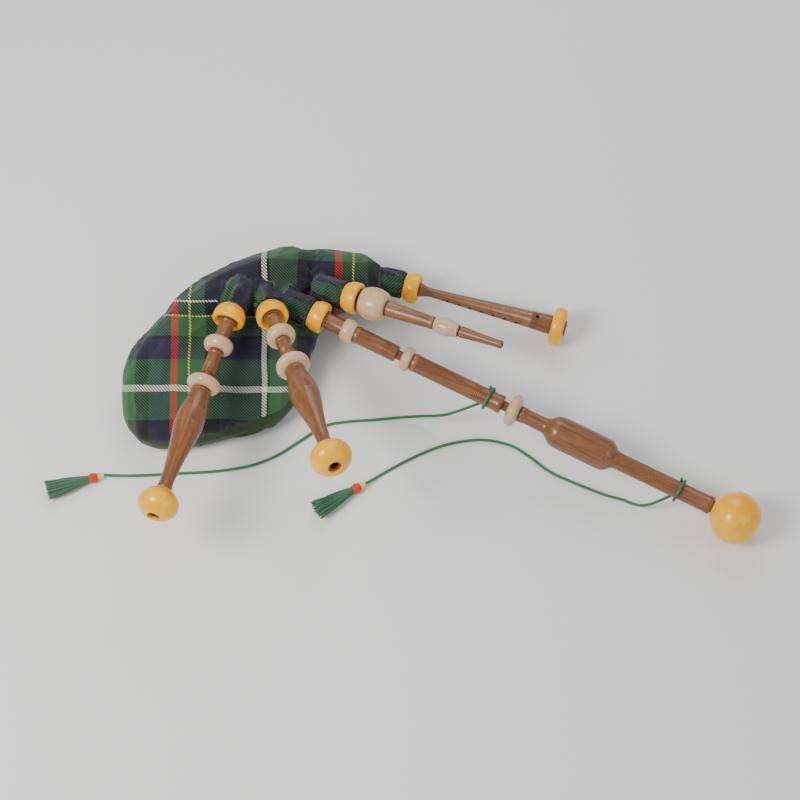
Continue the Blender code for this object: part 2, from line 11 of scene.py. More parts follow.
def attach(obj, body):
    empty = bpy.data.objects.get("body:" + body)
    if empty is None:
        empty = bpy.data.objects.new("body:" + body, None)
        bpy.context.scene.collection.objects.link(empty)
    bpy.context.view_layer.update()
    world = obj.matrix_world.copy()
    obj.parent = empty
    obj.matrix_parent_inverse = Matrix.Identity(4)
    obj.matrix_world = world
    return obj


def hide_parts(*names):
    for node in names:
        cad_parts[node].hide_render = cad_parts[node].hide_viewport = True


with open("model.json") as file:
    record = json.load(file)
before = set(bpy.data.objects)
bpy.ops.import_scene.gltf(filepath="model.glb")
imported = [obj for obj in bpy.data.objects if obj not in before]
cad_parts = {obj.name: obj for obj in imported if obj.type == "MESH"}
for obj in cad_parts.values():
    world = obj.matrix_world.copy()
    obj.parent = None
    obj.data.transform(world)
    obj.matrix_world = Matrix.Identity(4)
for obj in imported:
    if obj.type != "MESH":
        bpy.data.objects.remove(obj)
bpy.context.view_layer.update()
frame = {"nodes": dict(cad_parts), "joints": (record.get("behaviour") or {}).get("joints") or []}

MM = 0.001

# ------------------------ floor, light, camera
# A pale matt floor under soft studio light.  The camera stands in front of the two short drones and looks
# down steeply on the bag, so that the whole instrument is spread out below it.

CAMERA_RISE = 62.0
CAMERA_DISTANCE = 4.6
CAMERA_LENS = 109.0
CAMERA_TARGET = Vector((0.243, -0.065, 0.06))
FLOOR_SIZE = 80.0
FLOOR_COLOUR = (0.86, 0.86, 0.85, 1)
SKY_COLOUR = (0.93, 0.95, 1, 1)
SKY_STRENGTH = 0.5
# name, place, size in metres, power in watts, colour
LAMPS = (
    ("key_light", (-1.5, -1.0, 2.3), 1.1, 78, (1, 0.97, 0.93)),
    ("fill_light", (2.3, -1.7, 2.1), 2.2, 22, (0.92, 0.96, 1)),
    ("back_light", (0.6, 2.2, 2.2), 1.8, 30, (1, 1, 1)),
)

camera = bpy.data.objects.new("camera", bpy.data.cameras.new("camera"))
camera.data.lens = CAMERA_LENS
rise = math.radians(CAMERA_RISE)
camera.location = CAMERA_TARGET + Vector((0, -math.cos(rise), math.sin(rise))) * CAMERA_DISTANCE
camera.rotation_euler = (math.pi / 2 - rise, 0, 0)
bpy.context.scene.collection.objects.link(camera)
bpy.context.scene.camera = camera


def link(name, mesh):
    """Put a finished mesh into the scene as a named object."""
    item = bpy.data.objects.new(name, mesh)
    bpy.context.scene.collection.objects.link(item)
    return item


def settled(shape, name):
    """Close a bmesh off as a new mesh."""
    mesh = bpy.data.meshes.new(name)
    shape.to_mesh(mesh)
    shape.free()
    return mesh


def new_material(name, roughness, **sockets):
    """A Principled material whose even values are set on its own sockets."""
    material = bpy.data.materials.new(name)
    material.use_nodes = True
    shader = material.node_tree.nodes["Principled BSDF"]
    shader.inputs["Roughness"].default_value = roughness
    for socket, value in sockets.items():
        shader.inputs[socket.replace("_", " ")].default_value = value
    return material, material.node_tree, shader


def add_node(tree, kind, **values):
    """A shader node with its properties, or its inputs by name, set."""
    node = tree.nodes.new(kind)
    for key, value in values.items():
        if hasattr(node, key):
            setattr(node, key, value)
        else:
            node.inputs[key.replace("_", " ")].default_value = value
    return node


def maths(tree, operation, first, second=None):
    """One Math node; each operand is a number or a socket."""
    node = add_node(tree, "ShaderNodeMath", operation=operation)
    for socket, value in zip(node.inputs, (first, second)):
        if value is None:
            continue
        if isinstance(value, (int, float)):
            socket.default_value = value
        else:
            tree.links.new(value, socket)
    return node.outputs[0]


def blend_colours(tree, share, first, second, mode="MIX"):
    """Mix two colours; each is a colour or a socket."""
    node = add_node(tree, "ShaderNodeMix", data_type="RGBA", blend_type=mode)
    for socket, value in ((node.inputs[0], share), (node.inputs[6], first), (node.inputs[7], second)):
        if isinstance(value, (int, float, tuple)):
            socket.default_value = value
        else:
            tree.links.new(value, socket)
    return node.outputs[2]


def placed(tree, kind, place, **values):
    """A texture or mapping node that reads its place from a socket."""
    node = add_node(tree, kind, **values)
    tree.links.new(place, node.inputs["Vector"])
    return node.outputs[0]


def ranged(tree, value, **limits):
    """Carry a socket's value from one range to another."""
    node = add_node(tree, "ShaderNodeMapRange", **limits)
    tree.links.new(value, node.inputs["Value"])
    return node.outputs[0]


def weighed(tree, first, first_weight, second, second_weight):
    """The weighted sum of two sockets."""
    return maths(tree, "ADD", maths(tree, "MULTIPLY", first, first_weight),
                 maths(tree, "MULTIPLY", second, second_weight))


def apart(tree, vector):
    """The three coordinates of a vector socket."""
    node = add_node(tree, "ShaderNodeSeparateXYZ")
    tree.links.new(vector, node.inputs[0])
    return node.outputs


def object_place(tree):
    return add_node(tree, "ShaderNodeTexCoord").outputs["Object"]


def attribute(tree, name, output):
    """A value that the mesh carries: "weave" on the cloth, "lathe" and "rim" on a turned piece."""
    return add_node(tree, "ShaderNodeAttribute", attribute_name=name).outputs[output]


def colour_ramp(tree, share, stops, interpolation="LINEAR"):
    """Colours read off at a share; the stops are (place, colour) in rising order."""
    node = add_node(tree, "ShaderNodeValToRGB")
    elements = node.color_ramp.elements
    node.color_ramp.interpolation = interpolation
    for element, (place, colour) in zip(elements, (stops[0], stops[-1])):
        element.position = place
        element.color = (*colour, 1)
    for place, colour in stops[1:-1]:
        elements.new(place).color = (*colour, 1)
    tree.links.new(share, node.inputs[0])
    return node.outputs[0]


def bump(tree, shader, height, distance, strength=1.0):
    """Feed a height into the shader's normal."""
    node = add_node(tree, "ShaderNodeBump", Strength=strength, Distance=distance)
    tree.links.new(height, node.inputs["Height"])
    tree.links.new(node.outputs[0], shader.inputs["Normal"])


shape = bmesh.new()
bmesh.ops.create_grid(shape, x_segments=1, y_segments=1, size=FLOOR_SIZE / 2)
floor = link("floor", settled(shape, "floor"))
material, tree, shader = new_material("pale_floor", 0.75)
shader.inputs["Base Color"].default_value = FLOOR_COLOUR
floor.data.materials.append(material)

for name, place, size, power, colour in LAMPS:
    lamp = bpy.data.objects.new(name, bpy.data.lights.new(name, "AREA"))
    lamp.data.size = size
    lamp.data.energy = power
    lamp.data.color = colour
    lamp.location = place
    lamp.rotation_euler = (CAMERA_TARGET - Vector(place)).to_track_quat("-Z", "Y").to_euler()
    bpy.context.scene.collection.objects.link(lamp)
world = bpy.data.worlds.new("studio")
world.use_nodes = True
sky = world.node_tree.nodes["Background"]
sky.inputs["Color"].default_value = SKY_COLOUR
sky.inputs["Strength"].default_value = SKY_STRENGTH
bpy.context.scene.world = world

# ------------------------ drone cords
# Two twisted silk cords, each tied round the long drone with a turn and a quarter and then lying loose on
# the floor as far as its tassel.  Each cord is three strands laid together, and the strands are real ridges.

CORD_RADIUS = 3.0
WRAP_RADIUS = 21.0
WRAP_STEPS = 30
WRAP_START = 60.0
WRAP_TURNS = 1.25
WRAP_RISE = 9.0
STRAND_RELIEF = 0.12
STRAND_ROUNDNESS = 0.7
STRANDS = 3
LAY_OF_CORD = 15.0
RING_SPACING = 1.6
COURSE_SPACING = RING_SPACING * 6
RING_SIDES = 15


def pipe_frame(joint_name):
    """The matrix of a pipe: its origin at the mouth of the stock and its +Z out along the pipe."""
    joint = next(j for j in frame["joints"] if j["name"] == joint_name)
    out = Vector(joint["axis"]).normalized()
    level = Vector((0, 0, 1)).cross(out).normalized()
    down = level.cross(out)
    matrix = Matrix((down, level, out)).transposed().to_4x4()
    matrix.translation = Vector(joint["pos_m"])
    return matrix


PIPES = {name: pipe_frame(f"{name}_turn") for name in
         ("chanter", "blowpipe", "bass", "tenor_middle", "tenor_left")}


def turn_round_bass(along):
    """The points of a cord's turn and a quarter round the long drone."""
    steps = round(WRAP_TURNS * WRAP_STEPS)
    points = []
    for step in range(steps + 1):
        share = step / steps
        turn = math.radians(WRAP_START) + share * WRAP_TURNS * math.tau
        across, up = -math.cos(turn) * WRAP_RADIUS, math.sin(turn) * WRAP_RADIUS
        points.append(PIPES["bass"] @ (Vector((across, up, along + share * WRAP_RISE)) * MM))
    return points


def smooth_curve(points, spacing):
    """Points at an even spacing on a smooth curve through the given ones."""
    ends = [points[0] * 2 - points[1]] + points + [points[-1] * 2 - points[-2]]
    fine = []
    for before, start, end, after in zip(ends, ends[1:], ends[2:], ends[3:]):
        pieces = max(1, math.ceil((end - start).length / spacing))
        for piece in range(pieces):
            t = piece / pieces
            bend = 2 * before - 5 * start + 4 * end - after
            fine.append(0.5 * (2 * start + (end - before) * t + bend * t * t
                               + (3 * start - before - 3 * end + after) * t ** 3))
    return fine + [points[-1]]


def circle(radius, sides):
    """The places of a round section, in metres from a radius in mm."""
    turns = [side * math.tau / sides for side in range(sides)]
    return [(math.cos(turn) * radius * MM, math.sin(turn) * radius * MM) for turn in turns]


def sweep(shape, points, section, turn_per_step=0.0):
    """Carry a ring of (x, y) places along the points, turning it a little at each step."""
    along = (points[1] - points[0]).normalized()
    side = along.orthogonal().normalized()
    ring = [shape.verts.new((x, y, 0)) for x, y in section]
    edges = [shape.edges.new((a, b)) for a, b in zip(ring, ring[1:] + ring[:1])]

    def station(index):
        matrix = Matrix((side, along.cross(side), along)).transposed().to_4x4()
        matrix = matrix @ Matrix.Rotation(turn_per_step * index, 4, "Z")
        matrix.translation = points[index]
        return matrix

    place = station(0)
    bmesh.ops.transform(shape, matrix=place, verts=ring)
    shape.faces.new(list(reversed(ring)))
    for index in range(1, len(points)):
        towards = points[min(index + 1, len(points) - 1)] - points[index - 1]
        turned = along.rotation_difference(towards.normalized())
        side = (turned @ side).normalized()
        along = towards.normalized()
        side = (side - along * side.dot(along)).normalized()
        grown = bmesh.ops.extrude_edge_only(shape, edges=edges)["geom"]
        ring = [part for part in grown if isinstance(part, bmesh.types.BMVert)]
        corners = set(ring)
        edges = [part for part in grown if isinstance(part, bmesh.types.BMEdge)
                 and part.verts[0] in corners and part.verts[1] in corners]
        following = station(index)
        bmesh.ops.transform(shape, matrix=following @ place.inverted(), verts=ring)
        place = following
    bmesh.ops.contextual_create(shape, geom=edges)


def finish_mesh(shape, name, sharp_angle=40):
    """Close the bmesh off as a smooth-shaded mesh with its normals outwards."""
    bmesh.ops.recalc_face_normals(shape, faces=shape.faces)
    mesh = settled(shape, name)
    mesh.shade_smooth()
    mesh.set_sharp_from_angle(angle=math.radians(sharp_angle))
    return mesh


def thread_material(name, dark, light, fibre=900.0):
    """Dyed silk or wool thread: fine fibres, a little uneven dye and a soft sheen."""
    material, tree, shader = new_material(name, 0.62, Sheen_Weight=0.35, Sheen_Roughness=0.4)
    place = object_place(tree)
    fibres = placed(tree, "ShaderNodeTexNoise", place, Scale=fibre, Detail=3.0, Roughness=0.6)
    dye = placed(tree, "ShaderNodeTexNoise", place, Scale=fibre / 22, Detail=2.0)
    share = weighed(tree, fibres, 0.65, dye, 0.4)
    tree.links.new(blend_colours(tree, share, (*dark, 1), (*light, 1)), shader.inputs["Base Color"])
    bump(tree, shader, fibres, 0.0004, 0.5)
    return material


GREEN_CORD = thread_material("green_silk", (0.012, 0.085, 0.03), (0.05, 0.27, 0.1))


def laid_section():
    """The outline of the laid cord: one rounded ridge for each strand."""
    section = []
    for side in range(RING_SIDES):
        angle = side * math.tau / RING_SIDES
        relief = 1 - STRAND_RELIEF + STRAND_RELIEF * abs(math.cos(angle * STRANDS / 2)) ** STRAND_ROUNDNESS
        radius = relief * CORD_RADIUS
        section.append((math.cos(angle) * radius * MM, math.sin(angle) * radius * MM))
    return section


def make_cord(name, wrap, route):
    free = [wrap[-1]] + [Vector(point) * MM for point in route]
    points = smooth_curve(wrap[:-1] + smooth_curve(free, COURSE_SPACING * MM), RING_SPACING * MM)
    shape = bmesh.new()
    twist = math.tau * RING_SPACING / LAY_OF_CORD
    sweep(shape, points, laid_section(), twist)
    cord = link(f"{name}_laid_cord", finish_mesh(shape, name, 80))
    cord.data.materials.append(GREEN_CORD)
    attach(cord, "bag")
    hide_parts(f"{name}_cord")


LONG_WRAP = turn_round_bass(342)
LONG_ROUTE = [(352, -88, 58), (322, -84, 34), (282, -76, 15), (240, -74, 5), (196, -78, 3.6), (145, -82, 3.6),
              (98, -92, 3.6), (52, -124, 3.6), (10, -154, 3.6), (-40, -176, 3.6), (-105, -188, 3.6),
              (-180, -193, 3.6), (-250, -197, 3.6), (-304, -198, 6), (-316, -198.2, 8.6)]
SHORT_WRAP = turn_round_bass(738)
SHORT_ROUTE = [(716, -268, 30), (690, -262, 10), (662, -248, 3.6), (625, -236, 3.6), (575, -214, 3.6),
               (528, -190, 3.6), (490, -158, 3.6), (455, -134, 3.6), (410, -122, 3.6), (365, -124, 3.6),
               (318, -136, 3.6), (270, -158, 3.6), (225, -184, 3.6), (188, -209, 6), (179, -215.2, 8.6)]

# ------------------------ tassels
# A tassel closes each cord: a yellow wound end, a red knot of wound thread, and a skirt of cut green
# threads that spreads and lies on the floor.

TASSEL_HEAD = 30.0
TASSEL_LENGTH = 84.0
TASSEL_RADIUS = 18.0
TASSEL_LEAN = 5.5
TASSEL_THREADS = 150
THREAD_RADIUS = 0.95
THREAD_SIDES = 5
THREAD_STEPS = 7
GOLDEN_TURN = 2.39996
CAP_END = 12.4
CAP_TURNS = 5
KNOT_TURNS = 9
WOUND_RELIEF = 0.75

RED_THREAD = thread_material("red_thread", (0.45, 0.012, 0.004), (0.9, 0.07, 0.02))
YELLOW_THREAD = thread_material("yellow_thread", (0.62, 0.5, 0.06), (0.95, 0.86, 0.28))
GREEN_THREAD = thread_material("green_thread", (0.018, 0.075, 0.04), (0.085, 0.23, 0.13), 600)

LATHE_STEPS = 72
LEAST_CORNER = math.radians(28)
MOST_OF_EDGE = 0.4
ARC = (0, 0.34, 0.66, 1)
EASE = 0.7
RIM_GAIN = 4
OUTER_SHARE = 0.6
TURNED_SHARP = 34


def fillet(profile, radius):
    """Ease every hard corner of a profile with a small arc."""
    eased = []
    for index, point in enumerate(profile):
        before, after = Vector(profile[index - 1]), Vector(profile[(index + 1) % len(profile)])
        corner = Vector(point)
        back, on = before - corner, after - corner
        if back.length < 1e-6 or on.length < 1e-6 or point[1] < 1e-6:
            eased.append(tuple(point))
            continue
        if math.pi - back.angle(on) < LEAST_CORNER:
            eased.append(tuple(point))
            continue
        reach = min(radius, back.length * MOST_OF_EDGE, on.length * MOST_OF_EDGE)
        start, end = corner + back.normalized() * reach, corner + on.normalized() * reach
        for t in ARC:
            mixed = start * (1 - t) ** 2 + corner * 2 * t * (1 - t) + end * t * t
            eased.append(tuple(mixed))
    return eased


def lathe(name, outer, inner, matrix, ease=EASE, steps=LATHE_STEPS):
    """A turned piece from (z, radius) profiles.  Its lathe places and rim wear are kept as attributes."""
    profile = fillet(list(outer) + list(reversed(inner)), ease)
    shape = bmesh.new()
    rim = shape.verts.layers.float.new("rim")
    spun = [shape.verts.new((r * MM, 0, z * MM)) for z, r in profile]
    for index, vertex in enumerate(spun):
        before, after = Vector(profile[index - 1]), Vector(profile[(index + 1) % len(profile)])
        here = Vector(profile[index])
        outwards = (here - (before + after) / 2).y
        outside = index < len(profile) * OUTER_SHARE
        vertex[rim] = max(0.0, min(1.0, outwards * RIM_GAIN)) if outside else 0.0
    count = len(spun)
    closed = count if inner else count - 1
    for index in range(closed):
        shape.edges.new((spun[index], spun[(index + 1) % count]))
    bmesh.ops.spin(shape, geom=list(shape.verts) + list(shape.edges), cent=(0, 0, 0), axis=(0, 0, 1),
                   angle=math.tau, steps=steps, use_merge=True, use_duplicate=False)
    bmesh.ops.remove_doubles(shape, verts=shape.verts, dist=1e-6)
    places = shape.verts.layers.float_vector.new("lathe")
    for vertex in shape.verts:
        vertex[places] = vertex.co
    shape.transform(matrix)
    return link(name, finish_mesh(shape, name, TURNED_SHARP))


def set_up(item, material, body, slot_name, *nodes):
    """Give a finished piece its finish, its body and the design pieces that it stands for."""
    item.data.materials.append(material)
    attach(item, body)
    if nodes:
        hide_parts(*nodes)
    return item


def leaning(place, heading, lean):
    """A matrix at a place whose +Z heads along the floor and leans up a little."""
    turned = Matrix.Rotation(math.radians(heading), 4, "Z") @ Matrix.Rotation(math.radians(90 - lean), 4, "Y")
    return Matrix.Translation(Vector(place) * MM) @ turned


def wound(start, end, radius_of, turns):
    """A profile of wound thread: one small rounded ridge for each turn."""
    points = []
    for turn in range(turns):
        for share, lift in ((0.12, 0.0), (0.35, WOUND_RELIEF), (0.65, WOUND_RELIEF), (0.88, 0.0)):
            place = (turn + share) / turns
            points.append((start + (end - start) * place, radius_of(place) + lift))
    return points


def make_tassel(name, place, heading, seed):
    """The three pieces of one tassel, lying out from the end of its cord."""
    matrix = leaning(place, heading, TASSEL_LEAN)
    cap = [(0, 0)] + wound(0.2, CAP_END, lambda t: 3.6 + 3.2 * t, CAP_TURNS) + [(CAP_END + 0.2, 0)]
    cap_piece = set_up(lathe(f"{name}_cap", cap, [], matrix, 0.2, 40), YELLOW_THREAD, "bag", "tassel_red")
    knot = [(CAP_END, 0)] + wound(CAP_END + 0.1, TASSEL_HEAD, lambda t: 6.4 + 2.6 * math.sin(t * math.pi),
                                  KNOT_TURNS)
    knot_piece = set_up(lathe(f"{name}_knot", knot + [(TASSEL_HEAD, 0)], [], matrix, 0.2, 48), RED_THREAD,
                        "bag", "tassel_red", f"{name}_head")
    dice = random.Random(seed)
    shape = bmesh.new()
    section = circle(THREAD_RADIUS, THREAD_SIDES)
    for number in range(TASSEL_THREADS):
        turn = number * GOLDEN_TURN
        spread = math.sqrt((number + 0.5) / TASSEL_THREADS)
        length = TASSEL_LENGTH * dice.uniform(0.9, 1.0)
        drift = dice.uniform(-0.16, 0.16)
        wave = dice.uniform(0.3, 1.2)
        points = []
        for step in range(THREAD_STEPS + 1):
            t = step / THREAD_STEPS
            radius = spread * (6.2 + (TASSEL_RADIUS - 7.2) * (t ** 0.8)) + wave * math.sin(t * 7 + number)
            angle = turn + drift * t
            local = Vector((math.cos(angle) * radius, math.sin(angle) * radius * (1 + 0.12 * t),
                            TASSEL_HEAD - 1.5 + (length - 0.5) * t)) * MM
            point = matrix @ local
            point.z = max(point.z, THREAD_RADIUS * 1.1 * MM + 0.0009 * (number % 3))
            points.append(point)
        sweep(shape, points, section)
    skirt = link(f"{name}_threads", finish_mesh(shape, f"{name}_threads", 60))
    set_up(skirt, GREEN_THREAD, "bag", "tassel_green", f"{name}_skirt")
    return [cap_piece, knot_piece, skirt]


long_tassel = make_tassel("long_tassel", (-317.6, -198.7, 9.4), 200, 3)
make_cord("long", LONG_WRAP, LONG_ROUTE)
short_tassel = make_tassel("short_tassel", (177.4, -216.3, 9.4), 214, 5)
make_cord("short", SHORT_WRAP, SHORT_ROUTE)

# ------------------------ bag cover
# The cover is one loose sack of woven tartan drawn over the hide bag.  It is blown half full, so it puffs
# between the pipes, gathers into folds where each stock leaves it, and is tied there with a drawn hem.
# SLEEVE_RIM, RIM_SLACK, SLEEVE_CLEAR, SLEEVE_REACH and the FLOOR sizes are in metres, the others in mm.

REMESH_SIZE = 6.0
BAG_FRAMES = 20
CLOTH = {"quality": 6, "mass": 0.2, "tension_stiffness": 12, "compression_stiffness": 12, "shear_stiffness": 6,
         "bending_stiffness": 0.35, "use_pressure": True, "uniform_pressure_force": 4.0, "shrink_min": -0.035,
         "vertex_group_mass": "held"}
MOST_MOTION = 7.0
MOST_SAG = 1.8
SLEEVE_OUTSIDE = 26.1
SLEEVE_END = -30.0
SLEEVE_RIM = (0.0225, 0.0275)
RIM_SLACK = 0.0006
SLEEVE_CLEAR = 0.030
SLEEVE_REACH = -0.16
TIE_START = 62.0
TIE_FADE = 14.0
CLOTH_THICKNESS = 1.1
GATHERS = 9
GATHER_START = 34.0
GATHER_WIDTH = 80.0
FOLD_DEPTH = 3.2
FOLD_REACH = 95.0
CREASE_DEPTH = 4.0
CREASE_SHARPNESS = 7
PUFF_DEPTH = 4.2
PUFF_SETTLE = 1.6
FLOOR_GAP = 0.0006
FLOOR_HOLD = 0.0015
FLOOR_CALM = 0.02


def outer_skin(shape):
    """Keep only the outer skin of the hollow cover, with each sleeve's open end closed flat."""
    bmesh.ops.remove_doubles(shape, verts=shape.verts, dist=1e-5)
    doomed = []
    for face in shape.faces:
        centre = face.calc_center_median()
        for matrix in PIPES.values():
            local = matrix.inverted() @ centre
            level = abs(local.z - SLEEVE_END * MM) < RIM_SLACK
            if level and SLEEVE_RIM[0] < math.hypot(local.x, local.y) < SLEEVE_RIM[1]:
                doomed.append(face)
    bmesh.ops.delete(shape, geom=doomed, context="FACES")
    start = max(shape.verts, key=lambda vertex: vertex.co.z)
    reached, waiting = {start}, [start]
    while waiting:
        for edge in waiting.pop().link_edges:
            for vertex in edge.verts:
                if vertex not in reached:
                    reached.add(vertex)
                    waiting.append(vertex)
    hidden = [vertex for vertex in shape.verts if vertex not in reached]
    bmesh.ops.delete(shape, geom=hidden, context="VERTS")
    bmesh.ops.holes_fill(shape, edges=[edge for edge in shape.edges if edge.is_boundary], sides=0)
    bmesh.ops.recalc_face_normals(shape, faces=shape.faces)


def applied(item):
    """Leave the object with the mesh that its modifiers make, and no modifiers."""
    bpy.context.view_layer.update()
    mesh = bpy.data.meshes.new_from_object(item.evaluated_get(bpy.context.evaluated_depsgraph_get()))
    item.modifiers.clear()
    item.data = mesh


def sleeve_place(point):
    """A point's place along the nearest pipe, its distance from that axis (mm) and its turn round it."""
    best = None
    for matrix in PIPES.values():
        local = matrix.inverted() @ point
        if SLEEVE_REACH < local.z < 0.0:
            radius = math.hypot(local.x, local.y)
            if best is None or radius < best[1] * MM:
                best = (local.z / MM, radius / MM, math.atan2(local.y, local.x))
    return best


shape = bmesh.new()
shape.from_mesh(frame["nodes"]["bag_cover"].data)
outer_skin(shape)
stuffed = BVHTree.FromBMesh(shape)
cover = link("tartan_cover", settled(shape, "tartan_cover"))
remesh = cover.modifiers.new("even", "REMESH")
remesh.mode = "VOXEL"
remesh.voxel_size = REMESH_SIZE * MM
applied(cover)

rest_places = [vertex.co.copy() for vertex in cover.data.vertices]
held = cover.vertex_groups.new(name="held")
for vertex in cover.data.vertices:
    near = sleeve_place(vertex.co)
    tied = 0.0
    if near and near[1] < SLEEVE_OUTSIDE + 5:
        tied = min(1.0, max(0.0, (near[0] + TIE_START) / TIE_FADE))
    if vertex.co.z < FLOOR_HOLD:
        tied = 1.0
    if tied > 0:
        held.add([vertex.index], tied, "REPLACE")

cloth = cover.modifiers.new("puff", "CLOTH")
for setting, value in CLOTH.items():
    setattr(cloth.settings, setting, value)
cloth.settings.effector_weights.gravity = 0
cloth.collision_settings.use_collision = False
cloth.point_cache.frame_start = 1
cloth.point_cache.frame_end = BAG_FRAMES
for moment in range(1, BAG_FRAMES + 1):
    bpy.context.scene.frame_set(moment)
applied(cover)
bpy.context.scene.frame_set(1)

for vertex, rest in zip(cover.data.vertices, rest_places):
    moved = vertex.co - rest
    if moved.length > MOST_MOTION * MM:
        moved = moved.normalized() * MOST_MOTION * MM
    vertex.co = rest + moved
    vertex.co.z = max(vertex.co.z, FLOOR_GAP)

shape = bmesh.new()
shape.from_mesh(cover.data)
closing = []
for face in shape.faces:
    places = [matrix.inverted() @ face.calc_center_median() for matrix in PIPES.values()]
    if any(place.z > (SLEEVE_END - 1.5) * MM and math.hypot(*place.xy) < SLEEVE_CLEAR for place in places):
        closing.append(face)
bmesh.ops.delete(shape, context="FACES", geom=closing)
shape.to_mesh(cover.data)
shape.free()
soften = cover.modifiers.new("soften", "SUBSURF")
soften.levels = soften.render_levels = 1
applied(cover)

normals = [vertex.normal.copy() for vertex in cover.data.vertices]
for vertex, normal in zip(cover.data.vertices, normals):
    near = sleeve_place(vertex.co)
    shift = 0.0
    if near:
        along, radius, turn = near
        gathers = math.sin(turn * GATHERS + 1.9 * math.sin(turn * 2 + along / 22))
        fade = max(0.0, 1 - max(0.0, -along - GATHER_START) / FOLD_REACH)
        fade *= max(0.0, 1 - max(0.0, radius - 30) / GATHER_WIDTH)
        shift += gathers * fade * FOLD_DEPTH
    folds = noise.noise(Vector((vertex.co.x * 9, vertex.co.y * 17, vertex.co.z * 9)))
    crease = 1 - abs(noise.noise(Vector((vertex.co.x * 13 + 4, vertex.co.y * 7, vertex.co.z * 12))))
    calm = min(1.0, vertex.co.z / FLOOR_CALM)
    shift += (folds * PUFF_DEPTH + (crease ** CREASE_SHARPNESS) * CREASE_DEPTH - PUFF_SETTLE) * calm
    vertex.co += normal * shift * MM
    surface, outwards, _, _ = stuffed.find_nearest(vertex.co)
    proud = (vertex.co - surface).dot(outwards) / MM
    vertex.co += outwards * (min(max(proud, -MOST_SAG), MOST_MOTION) - proud) * MM
    vertex.co.z = max(vertex.co.z, FLOOR_GAP)

# The cover is a front and a back panel, bound together with plain tape along the far edge, so the weft is
# measured straight over the front and straight down the back.
STATION_STEP = 10.0
FIRST_STATION = -300.0
STATIONS = 57
FACING = (0.883, 0.469)
EDGE_BAND = 3.0
EDGE_DEFAULT = -60.0
EDGE_SMOOTHING = 4
TAPE_WIDTH = 9.0
BACK_WEFT = 60.0
SLEEVE_WARP = -88.5
SLEEVE_WEFT = 263.0
SLEEVE_WIDTH = 18.0
SLEEVE_ROOT = -88.0


def over_and_behind(point):
    """A point's place up the front of the bag, and its place back and down behind it (mm)."""
    up, back = FACING
    return up * point.y + back * point.z, back * point.y - up * point.z


body_places = []
for vertex in cover.data.vertices:
    near = sleeve_place(vertex.co)
    if not near or near[1] > SLEEVE_OUTSIDE + 8:
        body_places.append(vertex.co / MM)
edges = []
for index in range(STATIONS):
    x = FIRST_STATION + index * STATION_STEP
    ring = [over_and_behind(place) for place in body_places if abs(place.x - x) < STATION_STEP]
    if ring:
        highest = max(over for over, behind in ring)
        rim = [behind for over, behind in ring if over > highest - EDGE_BAND]
        edges.append(sum(rim) / len(rim))
    else:
        edges.append(edges[-1] if edges else EDGE_DEFAULT)
for _ in range(EDGE_SMOOTHING):
    edges = [(edges[max(i - 1, 0)] + edges[i] + edges[min(i + 1, STATIONS - 1)]) / 3 for i in range(STATIONS)]


def weave_place(point):
    """Where a point lies on the flat cloth: along the warp and the weft (mm), and 1 on the bound edge."""
    near = sleeve_place(point)
    if near and near[1] < SLEEVE_OUTSIDE + 6 and near[0] > SLEEVE_ROOT:
        return (SLEEVE_WARP + near[2] * SLEEVE_WIDTH, near[0] + SLEEVE_WEFT, 0)
    point = point / MM
    place = min(max((point.x - FIRST_STATION) / STATION_STEP, 0.0), STATIONS - 1.001)
    low = int(place)
    edge = edges[low] * (1 - place + low) + edges[low + 1] * (place - low)
    over, behind = over_and_behind(point)
    bound = 1 if abs(behind - edge) < TAPE_WIDTH / 2 else 0
    return (point.x, over if behind < edge else BACK_WEFT + behind, bound)


weave = cover.data.attributes.new("weave", "FLOAT_VECTOR", "POINT")
for vertex, value in zip(cover.data.vertices, weave.data):
    value.vector = weave_place(vertex.co)
thick = cover.modifiers.new("cloth", "SOLIDIFY")
thick.thickness = CLOTH_THICKNESS * MM
thick.offset = -1
applied(cover)
cover.data.shade_smooth()

GREEN = (0.036, 0.112, 0.045)
NAVY = (0.024, 0.022, 0.05)
BLACK = (0.008, 0.009, 0.010)
RED = (0.55, 0.022, 0.015)
LINE_YELLOW = (0.78, 0.58, 0.08)
LINE_WHITE = (0.70, 0.69, 0.62)
# The olive below colours both a painted shade band along the bag's near lower edge and the bound tape on the
# far edge.
OLIVE_SHADE_AND_TAPE = (0.022, 0.05, 0.013)
SETT = 305.0
WARP_SHIFT = 188.0
WEFT_SHIFT = 14.0
WARP = ((0, RED), (12, GREEN), (32, LINE_YELLOW), (35, GREEN), (62, BLACK), (92, NAVY), (164, BLACK),
        (168, LINE_WHITE), (178, BLACK), (183, GREEN), (236, BLACK), (262, NAVY))
WEFT = ((0, LINE_WHITE), (11, GREEN), (60, NAVY), (100, BLACK), (106, GREEN), (142, LINE_YELLOW),
        (145, BLACK), (169, LINE_WHITE), (172, NAVY), (214, BLACK), (252, GREEN))
THREAD = 1.5
THREAD_DRIFT = 14.0
SHADE_BAND_HEIGHT = 0.056
SHADE_BAND_TILT = (0.09, -0.12)
SEAM_WIDTH = 1.3


